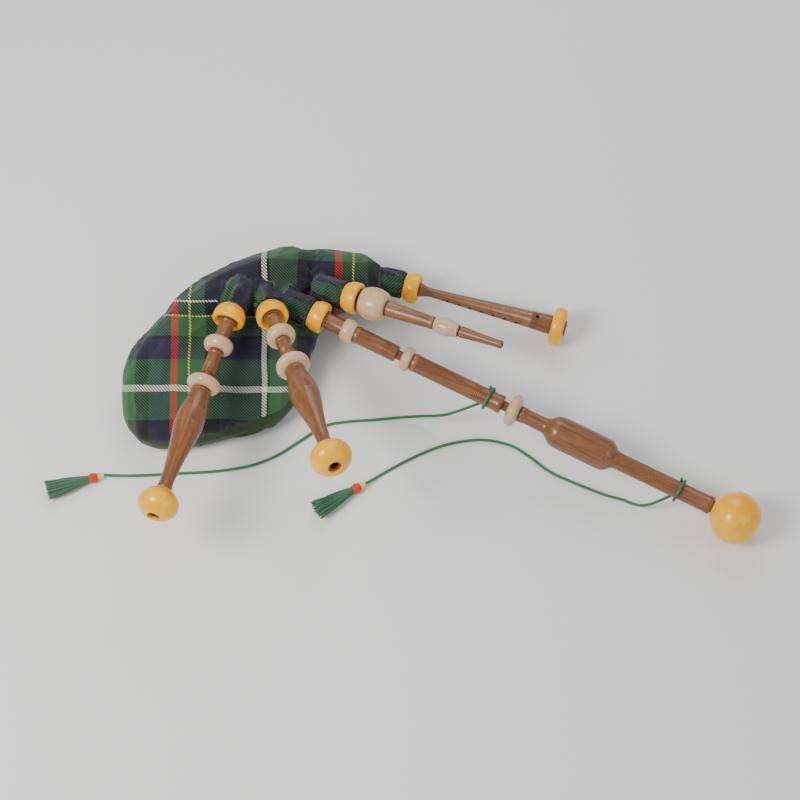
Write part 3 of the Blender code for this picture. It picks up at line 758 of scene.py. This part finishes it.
def woven_tartan():
    """The sett in both directions of the weave, twilled two over and two under, with plain olive painted as
    shade along the near lower edge and on the bound tape.
    """
    material, tree, shader = new_material("woven_tartan", 0.86, Sheen_Weight=0.2, Sheen_Roughness=0.5,
                                          Specular_IOR_Level=0.22)
    place = object_place(tree)
    drift = placed(tree, "ShaderNodeTexNoise", place, Scale=9.0, Detail=1.0)
    pull = maths(tree, "MULTIPLY", maths(tree, "SUBTRACT", drift, 0.5), THREAD_DRIFT)
    x, y, z = apart(tree, place)
    along, across, bound = apart(tree, attribute(tree, "weave", "Vector"))
    warp_place = maths(tree, "ADD", along, pull)
    weft_place = maths(tree, "SUBTRACT", across, pull)

    def stripes(coordinate, shift, bands):
        turned = maths(tree, "DIVIDE", maths(tree, "ADD", coordinate, shift + SETT * 4), SETT)
        stops = [(start / SETT, colour) for start, colour in bands]
        return colour_ramp(tree, maths(tree, "FRACT", turned), stops, "CONSTANT")

    warp, weft = stripes(warp_place, WARP_SHIFT, WARP), stripes(weft_place, WEFT_SHIFT, WEFT)
    warp_thread = maths(tree, "DIVIDE", warp_place, THREAD)
    weft_thread = maths(tree, "DIVIDE", weft_place, THREAD)
    count = maths(tree, "ADD", maths(tree, "FLOOR", warp_thread), maths(tree, "FLOOR", weft_thread))
    step = maths(tree, "FRACT", maths(tree, "ADD", maths(tree, "DIVIDE", count, 4.0), 400.0))
    over = maths(tree, "LESS_THAN", step, 0.49)
    cloth = blend_colours(tree, over, weft, warp)
    fuzz = placed(tree, "ShaderNodeTexNoise", place, Scale=900.0, Detail=3.0)
    wear = placed(tree, "ShaderNodeTexNoise", place, Scale=16.0, Detail=4.0)
    level = maths(tree, "MULTIPLY", ranged(tree, fuzz, To_Min=0.72, To_Max=1.3),
                  ranged(tree, wear, From_Min=0.3, From_Max=0.7, To_Min=0.85, To_Max=1.15))
    # Painted shade: below a tilted line near the floor the cloth turns plain olive, a dark band for the shade
    # along the bag's near lower edge. The same olive on the bound tape is the tape's own colour.
    shade_line_tilt = weighed(tree, x, SHADE_BAND_TILT[0], y, SHADE_BAND_TILT[1])
    above = maths(tree, "SUBTRACT", maths(tree, "SUBTRACT", z, shade_line_tilt), SHADE_BAND_HEIGHT)
    base = maths(tree, "MAXIMUM", maths(tree, "LESS_THAN", above, 0.0),
                 maths(tree, "GREATER_THAN", bound, 0.5))
    shade_banded = blend_colours(tree, base, cloth, (*OLIVE_SHADE_AND_TAPE, 1))
    shade = add_node(tree, "ShaderNodeCombineColor")
    for socket in shade.inputs:
        tree.links.new(level, socket)
    shaded = blend_colours(tree, 1.0, shade_banded, shade.outputs[0], "MULTIPLY")
    tree.links.new(shaded, shader.inputs["Base Color"])
    ridges = [maths(tree, "ABSOLUTE", maths(tree, "SINE", maths(tree, "MULTIPLY", thread, math.pi)))
              for thread in (warp_thread, weft_thread)]
    height = maths(tree, "ADD", maths(tree, "MULTIPLY", ridges[0], over),
                   maths(tree, "MULTIPLY", ridges[1], maths(tree, "SUBTRACT", 1.0, over)))
    height = maths(tree, "ADD", height, maths(tree, "MULTIPLY", fuzz, 0.6))
    seam = maths(tree, "LESS_THAN", maths(tree, "ABSOLUTE", above), SEAM_WIDTH * MM)
    bump(tree, shader, maths(tree, "ADD", height, maths(tree, "MULTIPLY", seam, -2.0)), 0.0005, 0.7)
    return material


TARTAN = woven_tartan()
set_up(cover, TARTAN, "bag", "tartan", "bag_cover")

HEM_RADIUS = 1.7
HEM_PLACE = 25.6
HEM_STEPS = 96
HEM_SIDES = 10

hem_shape = bmesh.new()
for matrix in PIPES.values():
    points = []
    for step in range(HEM_STEPS + 1):
        turn = step / HEM_STEPS * math.tau
        ripple = 0.5 * math.sin(turn * 22) + 0.3 * math.sin(turn * 9 + 1)
        out = HEM_PLACE + 0.3 * ripple
        local = Vector((math.cos(turn) * out, math.sin(turn) * out, SLEEVE_END - 1.0 + ripple * 0.5))
        points.append(matrix @ (local * MM))
    sweep(hem_shape, points, circle(HEM_RADIUS, HEM_SIDES))
hems = set_up(link("drawn_hems", finish_mesh(hem_shape, "drawn_hems", 60)), TARTAN, "bag", "tartan")
weave = hems.data.attributes.new("weave", "FLOAT_VECTOR", "POINT")
for vertex, value in zip(hems.data.vertices, weave.data):
    value.vector = weave_place(vertex.co)

# ------------------------ wood, mounts and cane
# The pipes are one brown hardwood, turned, oiled and rubbed: fine straight grain along the pipe, short dark
# pores, scribed turning marks and paler worn rims.  Balls and rings are cream imitation ivory, and cups, caps
# and the sole are amber yellow, both polished.

GRAIN_LENGTH = 14.0
WOOD_DARK = (0.075, 0.024, 0.007)
WOOD_MIDDLE = (0.185, 0.068, 0.02)
WOOD_LIGHT = (0.30, 0.118, 0.036)
WOOD_PORE = (0.05, 0.018, 0.007)
WOOD_RED = (0.24, 0.08, 0.02)
WOOD_WORN = (0.42, 0.22, 0.09)
YELLOWS = ((0.86, 0.34, 0.0), (0.96, 0.44, 0.0), (1.0, 0.55, 0.012))
CREAMS = ((0.46, 0.26, 0.12), (0.61, 0.39, 0.215), (0.70, 0.50, 0.31))


def rim_wear(tree, place):
    """How far a rim is worn: strong on the outer corners and broken up by noise."""
    patches = placed(tree, "ShaderNodeTexNoise", place, Scale=220.0, Detail=4.0)
    spread = ranged(tree, patches, From_Min=0.35, From_Max=0.65)
    return maths(tree, "MULTIPLY", attribute(tree, "rim", "Fac"), spread)


def turning_marks(tree, place, pitch):
    """The fine rings that the tool leaves round a turned piece."""
    rough = add_node(tree, "ShaderNodeTexNoise", noise_dimensions="1D", Scale=1.0, Detail=3.0)
    tree.links.new(maths(tree, "MULTIPLY", apart(tree, place)[2], 1 / (pitch * MM)), rough.inputs["W"])
    return rough.outputs[0]


def turned_wood():
    """Oiled brown hardwood, with its grain and pores along the piece's own axis."""
    material, tree, shader = new_material("turned_hardwood", 0.34, Coat_Weight=0.22, Coat_Roughness=0.18)
    place = attribute(tree, "lathe", "Vector")
    drawn = placed(tree, "ShaderNodeMapping", place, Scale=(1, 1, 1 / GRAIN_LENGTH))
    bands = placed(tree, "ShaderNodeTexNoise", drawn, Scale=170.0, Detail=5.0, Roughness=0.62, Distortion=0.6)
    streaks = placed(tree, "ShaderNodeTexNoise", drawn, Scale=620.0, Detail=3.0, Roughness=0.5)
    pores = placed(tree, "ShaderNodeTexNoise", drawn, Scale=1500.0, Detail=1.0)
    tint = placed(tree, "ShaderNodeTexNoise", place, Scale=14.0, Detail=2.0)
    grain = colour_ramp(tree, weighed(tree, bands, 0.7, streaks, 0.3),
                        ((0.36, WOOD_DARK), (0.5, WOOD_MIDDLE), (0.66, WOOD_LIGHT)))
    dark = ranged(tree, pores, From_Min=0.62, From_Max=0.7)
    grained = blend_colours(tree, maths(tree, "MULTIPLY", dark, 0.6), grain, (*WOOD_PORE, 1))
    tinted = blend_colours(tree, maths(tree, "MULTIPLY", tint, 0.45), grained, (*WOOD_RED, 1))
    worn = maths(tree, "MULTIPLY", rim_wear(tree, place), 0.55)
    tree.links.new(blend_colours(tree, worn, tinted, (*WOOD_WORN, 1)), shader.inputs["Base Color"])
    marks = turning_marks(tree, place, 0.35)
    bump(tree, shader, maths(tree, "SUBTRACT", maths(tree, "MULTIPLY", marks, 0.5), dark), 0.00012, 0.55)
    tree.links.new(ranged(tree, streaks, To_Min=0.26, To_Max=0.46), shader.inputs["Roughness"])
    return material


def polished_mount(name, colours, cloud):
    """A polished cast or turned mount: soft clouding, fine growth lines, turning marks and worn rims."""
    material, tree, shader = new_material(name, 0.26, Coat_Weight=0.2, Coat_Roughness=0.12,
                                          Specular_IOR_Level=0.38)
    deep, base, pale = colours
    place = attribute(tree, "lathe", "Vector")
    clouds = placed(tree, "ShaderNodeTexNoise", place, Scale=cloud, Detail=4.0, Roughness=0.55,
                    Distortion=0.8)
    drawn = placed(tree, "ShaderNodeMapping", place, Scale=(1, 1, 0.12))
    lines = placed(tree, "ShaderNodeTexNoise", drawn, Scale=480.0, Detail=3.0, Distortion=1.4)
    clouded = colour_ramp(tree, weighed(tree, clouds, 0.6, lines, 0.4),
                          ((0.28, deep), (0.5, base), (0.75, pale)))
    worn = maths(tree, "MULTIPLY", rim_wear(tree, place), 0.35)
    tree.links.new(blend_colours(tree, worn, clouded, (*pale, 1)), shader.inputs["Base Color"])
    marks = turning_marks(tree, place, 0.5)
    bump(tree, shader, marks, 0.00006, 0.5)
    tree.links.new(ranged(tree, marks, To_Min=0.16, To_Max=0.34), shader.inputs["Roughness"])
    return material


FINISHES = {"wood": turned_wood(), "yellow": polished_mount("amber_yellow", YELLOWS, 45.0),
            "cream": polished_mount("warm_cream", CREAMS, 60.0)}


def turned(name, outer, inner, matrix, finish, body, node, steps=LATHE_STEPS):
    """A turned piece with its finish, its body and the design piece that it stands for."""
    return set_up(lathe(name, outer, inner, matrix, steps=steps), FINISHES[finish], body, finish, node)


def rounded(span, radius, rim, points):
    """The outer profile of a ball or ring: a full curve between two rims."""
    start, end = span
    profile = []
    for index in range(points + 1):
        share = index / points
        curve = math.sqrt(max(0.0, 1 - (2 * share - 1) ** 2))
        profile.append((start + (end - start) * share, rim + (radius - rim) * curve))
    return [(start, rim - 0.6)] + profile + [(end, rim - 0.6)]


def tube(span, radius):
    """A plain bore, or a plain seat, from one end of a span to the other."""
    return [(span[0], radius), (span[1], radius)]


def turned_ring(name, span, radius, rim, seat, matrix, finish, body, node, points=18):
    """A ball or ring that sits on a seat with a little clearance."""
    turned(name, rounded(span, radius, rim, points), tube(span, seat + SEAT_GAP), matrix, finish, body, node)


def smooth_profile(points, spacing=3.0):
    """A turned profile as one flowing curve through its points."""
    flat = [Vector((z, 0, r)) for z, r in points]
    return [(point.x, point.z) for point in smooth_curve(flat, spacing)]


def combed(start, end, radius, lines=4):
    """A band of fine parallel grooves cut round a shaft."""
    profile = [(start, radius)]
    step = (end - start) / lines
    for line in range(lines):
        low = start + line * step
        for share, lift in ((0.1, 0), (0.3, -0.7), (0.5, -0.7), (0.7, 0.35), (0.9, 0.35)):
            profile.append((low + step * share, radius + lift))
    return profile + [(end, radius)]


# ------------------------ stocks
# Five short wooden sockets are tied into the bag, and each one's mouth is dressed with a yellow cup that
# swells to a rounded lip.  The pipe stands in the middle of the cup's hollow.

STOCK_LENGTH = 85.0
STOCK_RADIUS = 18.0
STOCK_BORE = 11.0
CUP_DEPTH = 27.0
CUP_RADIUS = 31.0
CUP_LIP = 3.0
CUP_GROOVE = 0.9
SEAT_GAP = 0.3

for pipe, matrix in PIPES.items():
    outer = [(-STOCK_LENGTH, STOCK_RADIUS - 1.5), (-STOCK_LENGTH + 4, STOCK_RADIUS), (0, STOCK_RADIUS)]
    turned(f"{pipe}_turned_stock", outer, tube((-STOCK_LENGTH, 0), STOCK_BORE), matrix, "wood", "bag",
           f"{pipe}_stock")
    swell = smooth_profile(
        [(-CUP_DEPTH, STOCK_RADIUS + 7), (-CUP_DEPTH * 0.6, CUP_RADIUS - 1), (-CUP_DEPTH * 0.15, CUP_RADIUS),
         (0, CUP_RADIUS - 0.9), (CUP_LIP, CUP_RADIUS - 4)], 1.5)
    groove = [(z, r - (CUP_GROOVE if -CUP_DEPTH * 0.88 < z < -CUP_DEPTH * 0.8 else 0)) for z, r in swell]
    hollow = tube((-CUP_DEPTH, -CUP_LIP), STOCK_RADIUS + SEAT_GAP)
    hollow += [(CUP_LIP - 0.5, CUP_RADIUS - 7.5), (CUP_LIP, CUP_RADIUS - 6.8)]
    turned(f"{pipe}_turned_cup", groove, hollow, matrix, "yellow", "bag", f"{pipe}_ferrule")

# ------------------------ chanter
# The melody pipe is a long cone with seven round finger holes down its front, a thumb hole behind, a vent
# across its foot, and a broad yellow sole that sits against the widest part.

TENON_LENGTH = 34.0
TENON_RADIUS = 9.4
CHANTER_LENGTH = 298.0
CHANTER_TOP = 9.0
CHANTER_FOOT = 19.0
SOLE = (270.0, 295.0)
SOLE_SEAT = 15.0
HOLE_RADIUS = 3.5
FINGER_HOLES = (62, 86, 109, 132, 156, 179, 202)
THUMB_HOLE = 50
VENT_HOLE = 240
DRILL_REACH = 24
DRILL_SIDES = 28
FRONT = -math.pi / 2
CHANTER_BORE = (3.4, 10.0)
CHANTER_STEPS = 96


def mouth_bead(length, shaft):
    """The rounded bead at the foot of a pipe, where it meets the stock."""
    return [(0.5, shaft), (length * 0.25, shaft + 1.2), (length * 0.5, shaft + 1.6),
            (length * 0.75, shaft + 1.2), (length, shaft)]


def drill_out(item, place, turn, start):
    """Cut a round hole across a piece, from a distance on one side of its axis to clear of the other."""
    shape = bmesh.new()
    lie = Matrix.Translation((0, 0, place * MM)) @ Matrix.Rotation(turn, 4, "Z")
    lie = lie @ Matrix.Rotation(math.pi / 2, 4, "Y")
    bmesh.ops.create_cone(shape, cap_ends=True, segments=DRILL_SIDES, radius1=HOLE_RADIUS * MM,
                          radius2=HOLE_RADIUS * MM, depth=(DRILL_REACH - start) * MM,
                          matrix=lie @ Matrix.Translation((0, 0, (DRILL_REACH + start) / 2 * MM)))
    drill = link("drill", settled(shape, "drill"))
    cut = item.modifiers.new("hole", "BOOLEAN")
    cut.operation, cut.solver, cut.object = "DIFFERENCE", "EXACT", drill
    applied(item)
    bpy.data.objects.remove(drill, do_unlink=True)


outer = [(-TENON_LENGTH, TENON_RADIUS - 2), (-TENON_LENGTH + 4, TENON_RADIUS), (0.5, TENON_RADIUS)]
outer += [(0.5, CHANTER_TOP + 4)] + smooth_profile(
    [(3, CHANTER_TOP + 4.2), (8, CHANTER_TOP + 4), (13, CHANTER_TOP + 2.2), (22, CHANTER_TOP + 0.4),
     (32, CHANTER_TOP), (60, CHANTER_TOP + 1.1)])
outer += [(SOLE[0] - 42, CHANTER_FOOT - 2.0)] + combed(SOLE[0] - 40, SOLE[0] - 28, CHANTER_FOOT - 1.3)
outer += [(SOLE[0] - 12, CHANTER_FOOT), (SOLE[0] - 1, CHANTER_FOOT), (SOLE[0] - 1, SOLE_SEAT),
          (CHANTER_LENGTH, SOLE_SEAT)]
inner = [(-TENON_LENGTH, CHANTER_BORE[0]), (30, CHANTER_BORE[0]), (CHANTER_LENGTH, CHANTER_BORE[1])]
chanter = lathe("chanter_cone", outer, inner, Matrix(), steps=CHANTER_STEPS)
for place in FINGER_HOLES:
    drill_out(chanter, place, FRONT, 0)
drill_out(chanter, THUMB_HOLE, FRONT + math.pi, 0)
drill_out(chanter, VENT_HOLE, 0, -DRILL_REACH)
chanter.data.transform(PIPES["chanter"])
chanter.data.shade_smooth()
chanter.data.set_sharp_from_angle(angle=math.radians(TURNED_SHARP))
set_up(chanter, FINISHES["wood"], "chanter", "wood", "chanter")
turned_ring("chanter_turned_sole", SOLE, 38, 31, SOLE_SEAT, PIPES["chanter"], "yellow", "chanter",
            "chanter_sole")

# ------------------------ blowpipe
# A big cream ball sits against the stock, then a bare shaft tapers to a small cream mount.  The mouthpiece
# is a separate thin tip that pushes into the mount, with a slight bulb for the teeth.

BLOW_BALL = (6.0, 60.0)
BLOW_MOUNT = (162.0, 214.0)
BLOW_TIP = (186.0, 300.0)
BLOW_BORE = 5.0
BLOW_COLLAR = 14.0
BLOW_PEG = 10.0
TIP_SOCKET = 7.0
TIP_PEG = 6.5
TIP_BORE = 3.5

blowpipe = PIPES["blowpipe"]
ball_end, (mount, mount_end), tip_end = BLOW_BALL[1], BLOW_MOUNT, BLOW_TIP[1]
outer = [(-TENON_LENGTH, TENON_RADIUS), (0.5, TENON_RADIUS), (0.5, BLOW_COLLAR), (ball_end + 2, BLOW_COLLAR),
         (ball_end + 2, 16), (ball_end + 6, 16.6), (ball_end + 10, 16)]
outer += [(mount - 12, 12.3), (mount - 8, 12.9), (mount - 2, 12.4), (mount - 2, BLOW_PEG),
          (mount_end - 2, BLOW_PEG)]
inner = tube((-TENON_LENGTH, BLOW_TIP[0] - 2), BLOW_BORE) + tube((BLOW_TIP[0] - 2, mount_end - 2), TIP_SOCKET)
turned("blowpipe_shaft", outer, inner, blowpipe, "wood", "blowpipe", "blowpipe")
turned_ring("blowpipe_turned_ball", BLOW_BALL, 32, 19, BLOW_COLLAR, blowpipe, "cream", "blowpipe",
            "blowpipe_ball", 30)
outer = [(mount, 12.4)] + smooth_profile(
    [(mount, 13), (mount + 8, 16), (mount + 18, 17), (mount + 30, 16.2), (mount_end - 9, 13),
     (mount_end - 4, 12.5)])
turned("blowpipe_turned_mount", outer, tube((mount, mount_end - 4), BLOW_PEG + SEAT_GAP), blowpipe,
       "cream", "blowpipe", "blowpipe_mount")
outer = tube((BLOW_TIP[0], mount_end), TIP_PEG) + smooth_profile(
    [(mount_end, 11), (mount_end + 5, 11.3), (mount_end + 12, 10.4), (mount_end + 40, 9), (tip_end - 14, 7.5),
     (tip_end - 5, 8.1), (tip_end - 1, 7.7), (tip_end, 7)])
turned("blowpipe_mouthpiece", outer, tube(BLOW_TIP, TIP_BORE), blowpipe, "wood", "mouthpiece", "mouthpiece",
       steps=48)

# ------------------------ bass drone
# The long drone is three joints on two tuning slides.  A cream ball sits on the bottom joint, a cream ring
# dresses each socket, the top joint swells into a barrel, and a domed yellow cap closes the end.

DRONE_BORE = 6.0
SLIDE_LENGTH = 74.0
SLIDE_SHOW = 11.0
SOCKET = 15.5
BELL_TUBE = 12.0
BELL_BORE = 8.5
BELL_FLARE = 8.0
BELL_CURVE = ((0.05, 0.5), (0.16, 0.74), (0.36, 0.95), (0.55, 1.0), (0.76, 0.89), (0.92, 0.65))
REED_BORE = 4.3
REED_SEAT = 14.0
BASS_SHAFT = 16.0
BASS_MIDDLE = 17.0
BASS_TOP = 16.5
BASS_BALL = (40.0, 66.0)
BASS_LOWER_SLIDE = 166.0
BASS_LOWER_RING = (167.0, 186.0)
BASS_UPPER_SLIDE = 388.0
BASS_UPPER_RING = (389.0, 412.0)
BASS_BARREL = ((414, 15), (418, 16), (424, 15), (430, 14.2), (458, 14.6), (467, 15.6), (474, 20), (482, 27),
               (490, 30.2), (500, 31), (540, 31.2), (586, 31), (595, 29.5), (603, 25), (609, 19), (614, 17),
               (622, 16.6))
BASS_BELL = (812.0, 902.0)
BASS_MOUTH = (870.0, 898.0)


def drone_foot(shaft):
    """The tenon of a bottom joint and the bead above it."""
    return tube((-TENON_LENGTH, 0.5), TENON_RADIUS) + mouth_bead(6, shaft)


def slide_tip(slide):
    """How far a tuning pin reaches, for a slide that starts at this height."""
    return slide - SLIDE_SHOW + SLIDE_LENGTH


def slide_end(shaft, slide):
    """The shoulder and tuning pin at the end of a joint."""
    return [(slide - SLIDE_SHOW, shaft)] + tube((slide - SLIDE_SHOW, slide_tip(slide)), TENON_RADIUS)


def slide_socket(slide):
    """The bore that a tuning pin slides in."""
    depth = slide + SLIDE_LENGTH + 5
    return tube((slide, depth), STOCK_BORE) + [(depth + 4, DRONE_BORE)]


def bottom_bore(slide):
    """The bore of a bottom joint, narrow where the reed sits."""
    seat = REED_SEAT - TENON_LENGTH
    return tube((-TENON_LENGTH, seat), REED_BORE) + tube((seat + 1, slide_tip(slide)), DRONE_BORE)


def top_bore(slide, mouth):
    """The bore of a top joint, from the slide's socket to the wide mouth under the cap."""
    return slide_socket(slide) + [(mouth[0] - BELL_FLARE, DRONE_BORE + 1)] + tube(mouth, BELL_BORE)


def turned_bell(name, span, radius, matrix, body, node):
    """A domed cap: narrow behind, fullest past its middle, and drawn in to the mouth."""
    start, end = span
    curve = [(start + (end - start) * share, radius * width) for share, width in BELL_CURVE]
    outer = [(start, BELL_TUBE + 4)] + smooth_profile(
        [(start, BELL_TUBE + 5)] + curve + [(end - 1, radius * 0.46), (end, radius * 0.4)], 2.0)
    turned(name, outer, tube(span, BELL_TUBE + SEAT_GAP), matrix, "yellow", body, node)


bass = PIPES["bass"]
after = BASS_BALL[1]
outer = drone_foot(BASS_SHAFT) + [(after + 2, BASS_SHAFT), (after + 4, BASS_SHAFT + 0.9),
                                  (after + 7, BASS_SHAFT + 0.9), (after + 9, BASS_SHAFT)]
outer += combed(128, 140, BASS_SHAFT) + slide_end(BASS_SHAFT, BASS_LOWER_SLIDE)
turned("bass_bottom_turned", outer, bottom_bore(BASS_LOWER_SLIDE), bass, "wood", "bass_bottom",
       "bass_bottom_joint")
turned_ring("bass_turned_ball", BASS_BALL, 24, 18, BASS_SHAFT, bass, "cream", "bass_bottom", "bass_ball")
outer = tube((BASS_LOWER_SLIDE, 188), SOCKET)
outer += [(188, BASS_MIDDLE), (191, BASS_MIDDLE + 1.1), (196, BASS_MIDDLE + 1.1), (199, BASS_MIDDLE)]
outer += combed(318, 332, BASS_MIDDLE) + [(366, BASS_MIDDLE), (368, BASS_MIDDLE + 0.9)]
outer += [(374, BASS_MIDDLE + 0.9)] + slide_end(BASS_MIDDLE + 0.4, BASS_UPPER_SLIDE)
inner = slide_socket(BASS_LOWER_SLIDE) + [(slide_tip(BASS_UPPER_SLIDE), DRONE_BORE)]
turned("bass_middle_turned", outer, inner, bass, "wood", "bass_middle", "bass_middle_joint")
turned_ring("bass_turned_lower_ring", BASS_LOWER_RING, 24, 18, SOCKET, bass, "cream", "bass_middle",
            "bass_lower_ring")
outer = tube((BASS_UPPER_SLIDE, 414), SOCKET) + [(414, 14)] + smooth_profile(BASS_BARREL, 2.5)
outer += combed(676, 690, BASS_TOP)
outer += [(798, BASS_TOP), (801, BASS_TOP + 1.1), (806, BASS_TOP + 1.1), (810, BASS_TOP)]
outer += tube((810, BASS_MOUTH[1]), BELL_TUBE)
turned("bass_top_turned", outer, top_bore(BASS_UPPER_SLIDE, BASS_MOUTH), bass, "wood", "bass_top",
       "bass_top_joint")
turned_ring("bass_turned_upper_ring", BASS_UPPER_RING, 32, 18, SOCKET, bass, "cream", "bass_top",
            "bass_upper_ring")
turned_bell("bass_turned_bell", BASS_BELL, 50, bass, "bass_top", "bass_bell")

# ------------------------ tenor drones
# The two short drones are alike: a cream ball and a bare shaft below, and above the tuning slide a cream
# ring, a long swelling bulb that narrows to a neck, and the domed yellow cap.

TENOR_SHAFT = 13.0
TENOR_BALL = (42.0, 68.0)
TENOR_SLIDE = 130.0
TENOR_RING = (131.0, 154.0)
TENOR_BULB = ((156, 18.6), (160, 19.4), (165, 18.8), (172, 19.6), (186, 22.2), (206, 26), (226, 27.2),
              (240, 26.6), (276, 21), (312, 15.8), (344, 13), (356, 12.9), (361, 13.2))
TENOR_BELL = (372.0, 428.0)
TENOR_MOUTH = (400.0, 424.0)

for pipe in ("tenor_middle", "tenor_left"):
    matrix, bottom, top = PIPES[pipe], f"{pipe}_bottom", f"{pipe}_top"
    outer = drone_foot(TENOR_SHAFT + 1) + tube((40, 70), TENOR_SHAFT + 0.2)
    outer += [(72, TENOR_SHAFT + 1.4), (75, TENOR_SHAFT + 1.4), (77, TENOR_SHAFT)]
    outer += combed(98, 110, TENOR_SHAFT) + slide_end(TENOR_SHAFT, TENOR_SLIDE)
    turned(f"{bottom}_turned", outer, bottom_bore(TENOR_SLIDE), matrix, "wood", bottom, f"{bottom}_joint")
    turned_ring(f"{pipe}_turned_ball", TENOR_BALL, 28, 16, TENOR_SHAFT, matrix, "cream", bottom,
                f"{pipe}_ball")
    outer = tube((TENOR_SLIDE, 156), SOCKET) + [(156, 18)] + smooth_profile(TENOR_BULB, 3.0)
    outer += [(363, TENOR_SHAFT + 1.2), (367, TENOR_SHAFT + 1.2), (370, TENOR_SHAFT)]
    outer += tube((370, TENOR_MOUTH[1]), BELL_TUBE)
    turned(f"{top}_turned", outer, top_bore(TENOR_SLIDE, TENOR_MOUTH), matrix, "wood", top, f"{top}_joint")
    turned_ring(f"{pipe}_turned_ring", TENOR_RING, 32, 18, SOCKET, matrix, "cream", top, f"{pipe}_ring")
    turned_bell(f"{pipe}_turned_bell", TENOR_BELL, 38, matrix, top, f"{pipe}_bell")

# ------------------------ fittings inside
# Inside, the hide bag, the hemp that packs every tenon, the tie-in bindings, the cane reeds and the rubber
# flap keep their own meshes and each get a real material.


def finish_carried(nodes, material):
    for name in nodes:
        mesh = frame["nodes"][name].data
        mesh.materials.clear()
        mesh.materials.append(material)


def noisy_material(name, roughness, scales, dark, light, relief):
    """An even natural stuff: two sizes of noise drive its colour, and the finer one its relief."""
    material, tree, shader = new_material(name, roughness)
    place = object_place(tree)
    broad = placed(tree, "ShaderNodeTexNoise", place, Scale=40.0, Detail=4.0)
    drawn = placed(tree, "ShaderNodeMapping", place, Scale=scales)
    fine = placed(tree, "ShaderNodeTexVoronoi", drawn, Scale=700.0)
    share = weighed(tree, broad, 0.7, fine, 0.3)
    tree.links.new(blend_colours(tree, share, (*dark, 1), (*light, 1)), shader.inputs["Base Color"])
    bump(tree, shader, fine, relief)
    return material


names = list(frame["nodes"])
finish_carried(["air_bag"],
               noisy_material("sealed_hide", 0.6, (1, 1, 1), (0.32, 0.2, 0.1), (0.6, 0.46, 0.3), 0.0004))
finish_carried([name for name in names if name.endswith(("_hemp", "_binding"))],
               noisy_material("waxed_hemp", 0.8, (1, 1, 1), (0.3, 0.19, 0.06), (0.68, 0.5, 0.22), 0.0006))
finish_carried([name for name in names if name.endswith("_reed")],
               noisy_material("split_cane", 0.5, (4, 4, 0.2), (0.52, 0.36, 0.12), (0.8, 0.62, 0.3), 0.0002))
finish_carried(["valve_flap"], noisy_material("black_rubber", 0.62, (1, 1, 1), (0.012, 0.012, 0.012),
                                              (0.035, 0.035, 0.035), 0.0001))
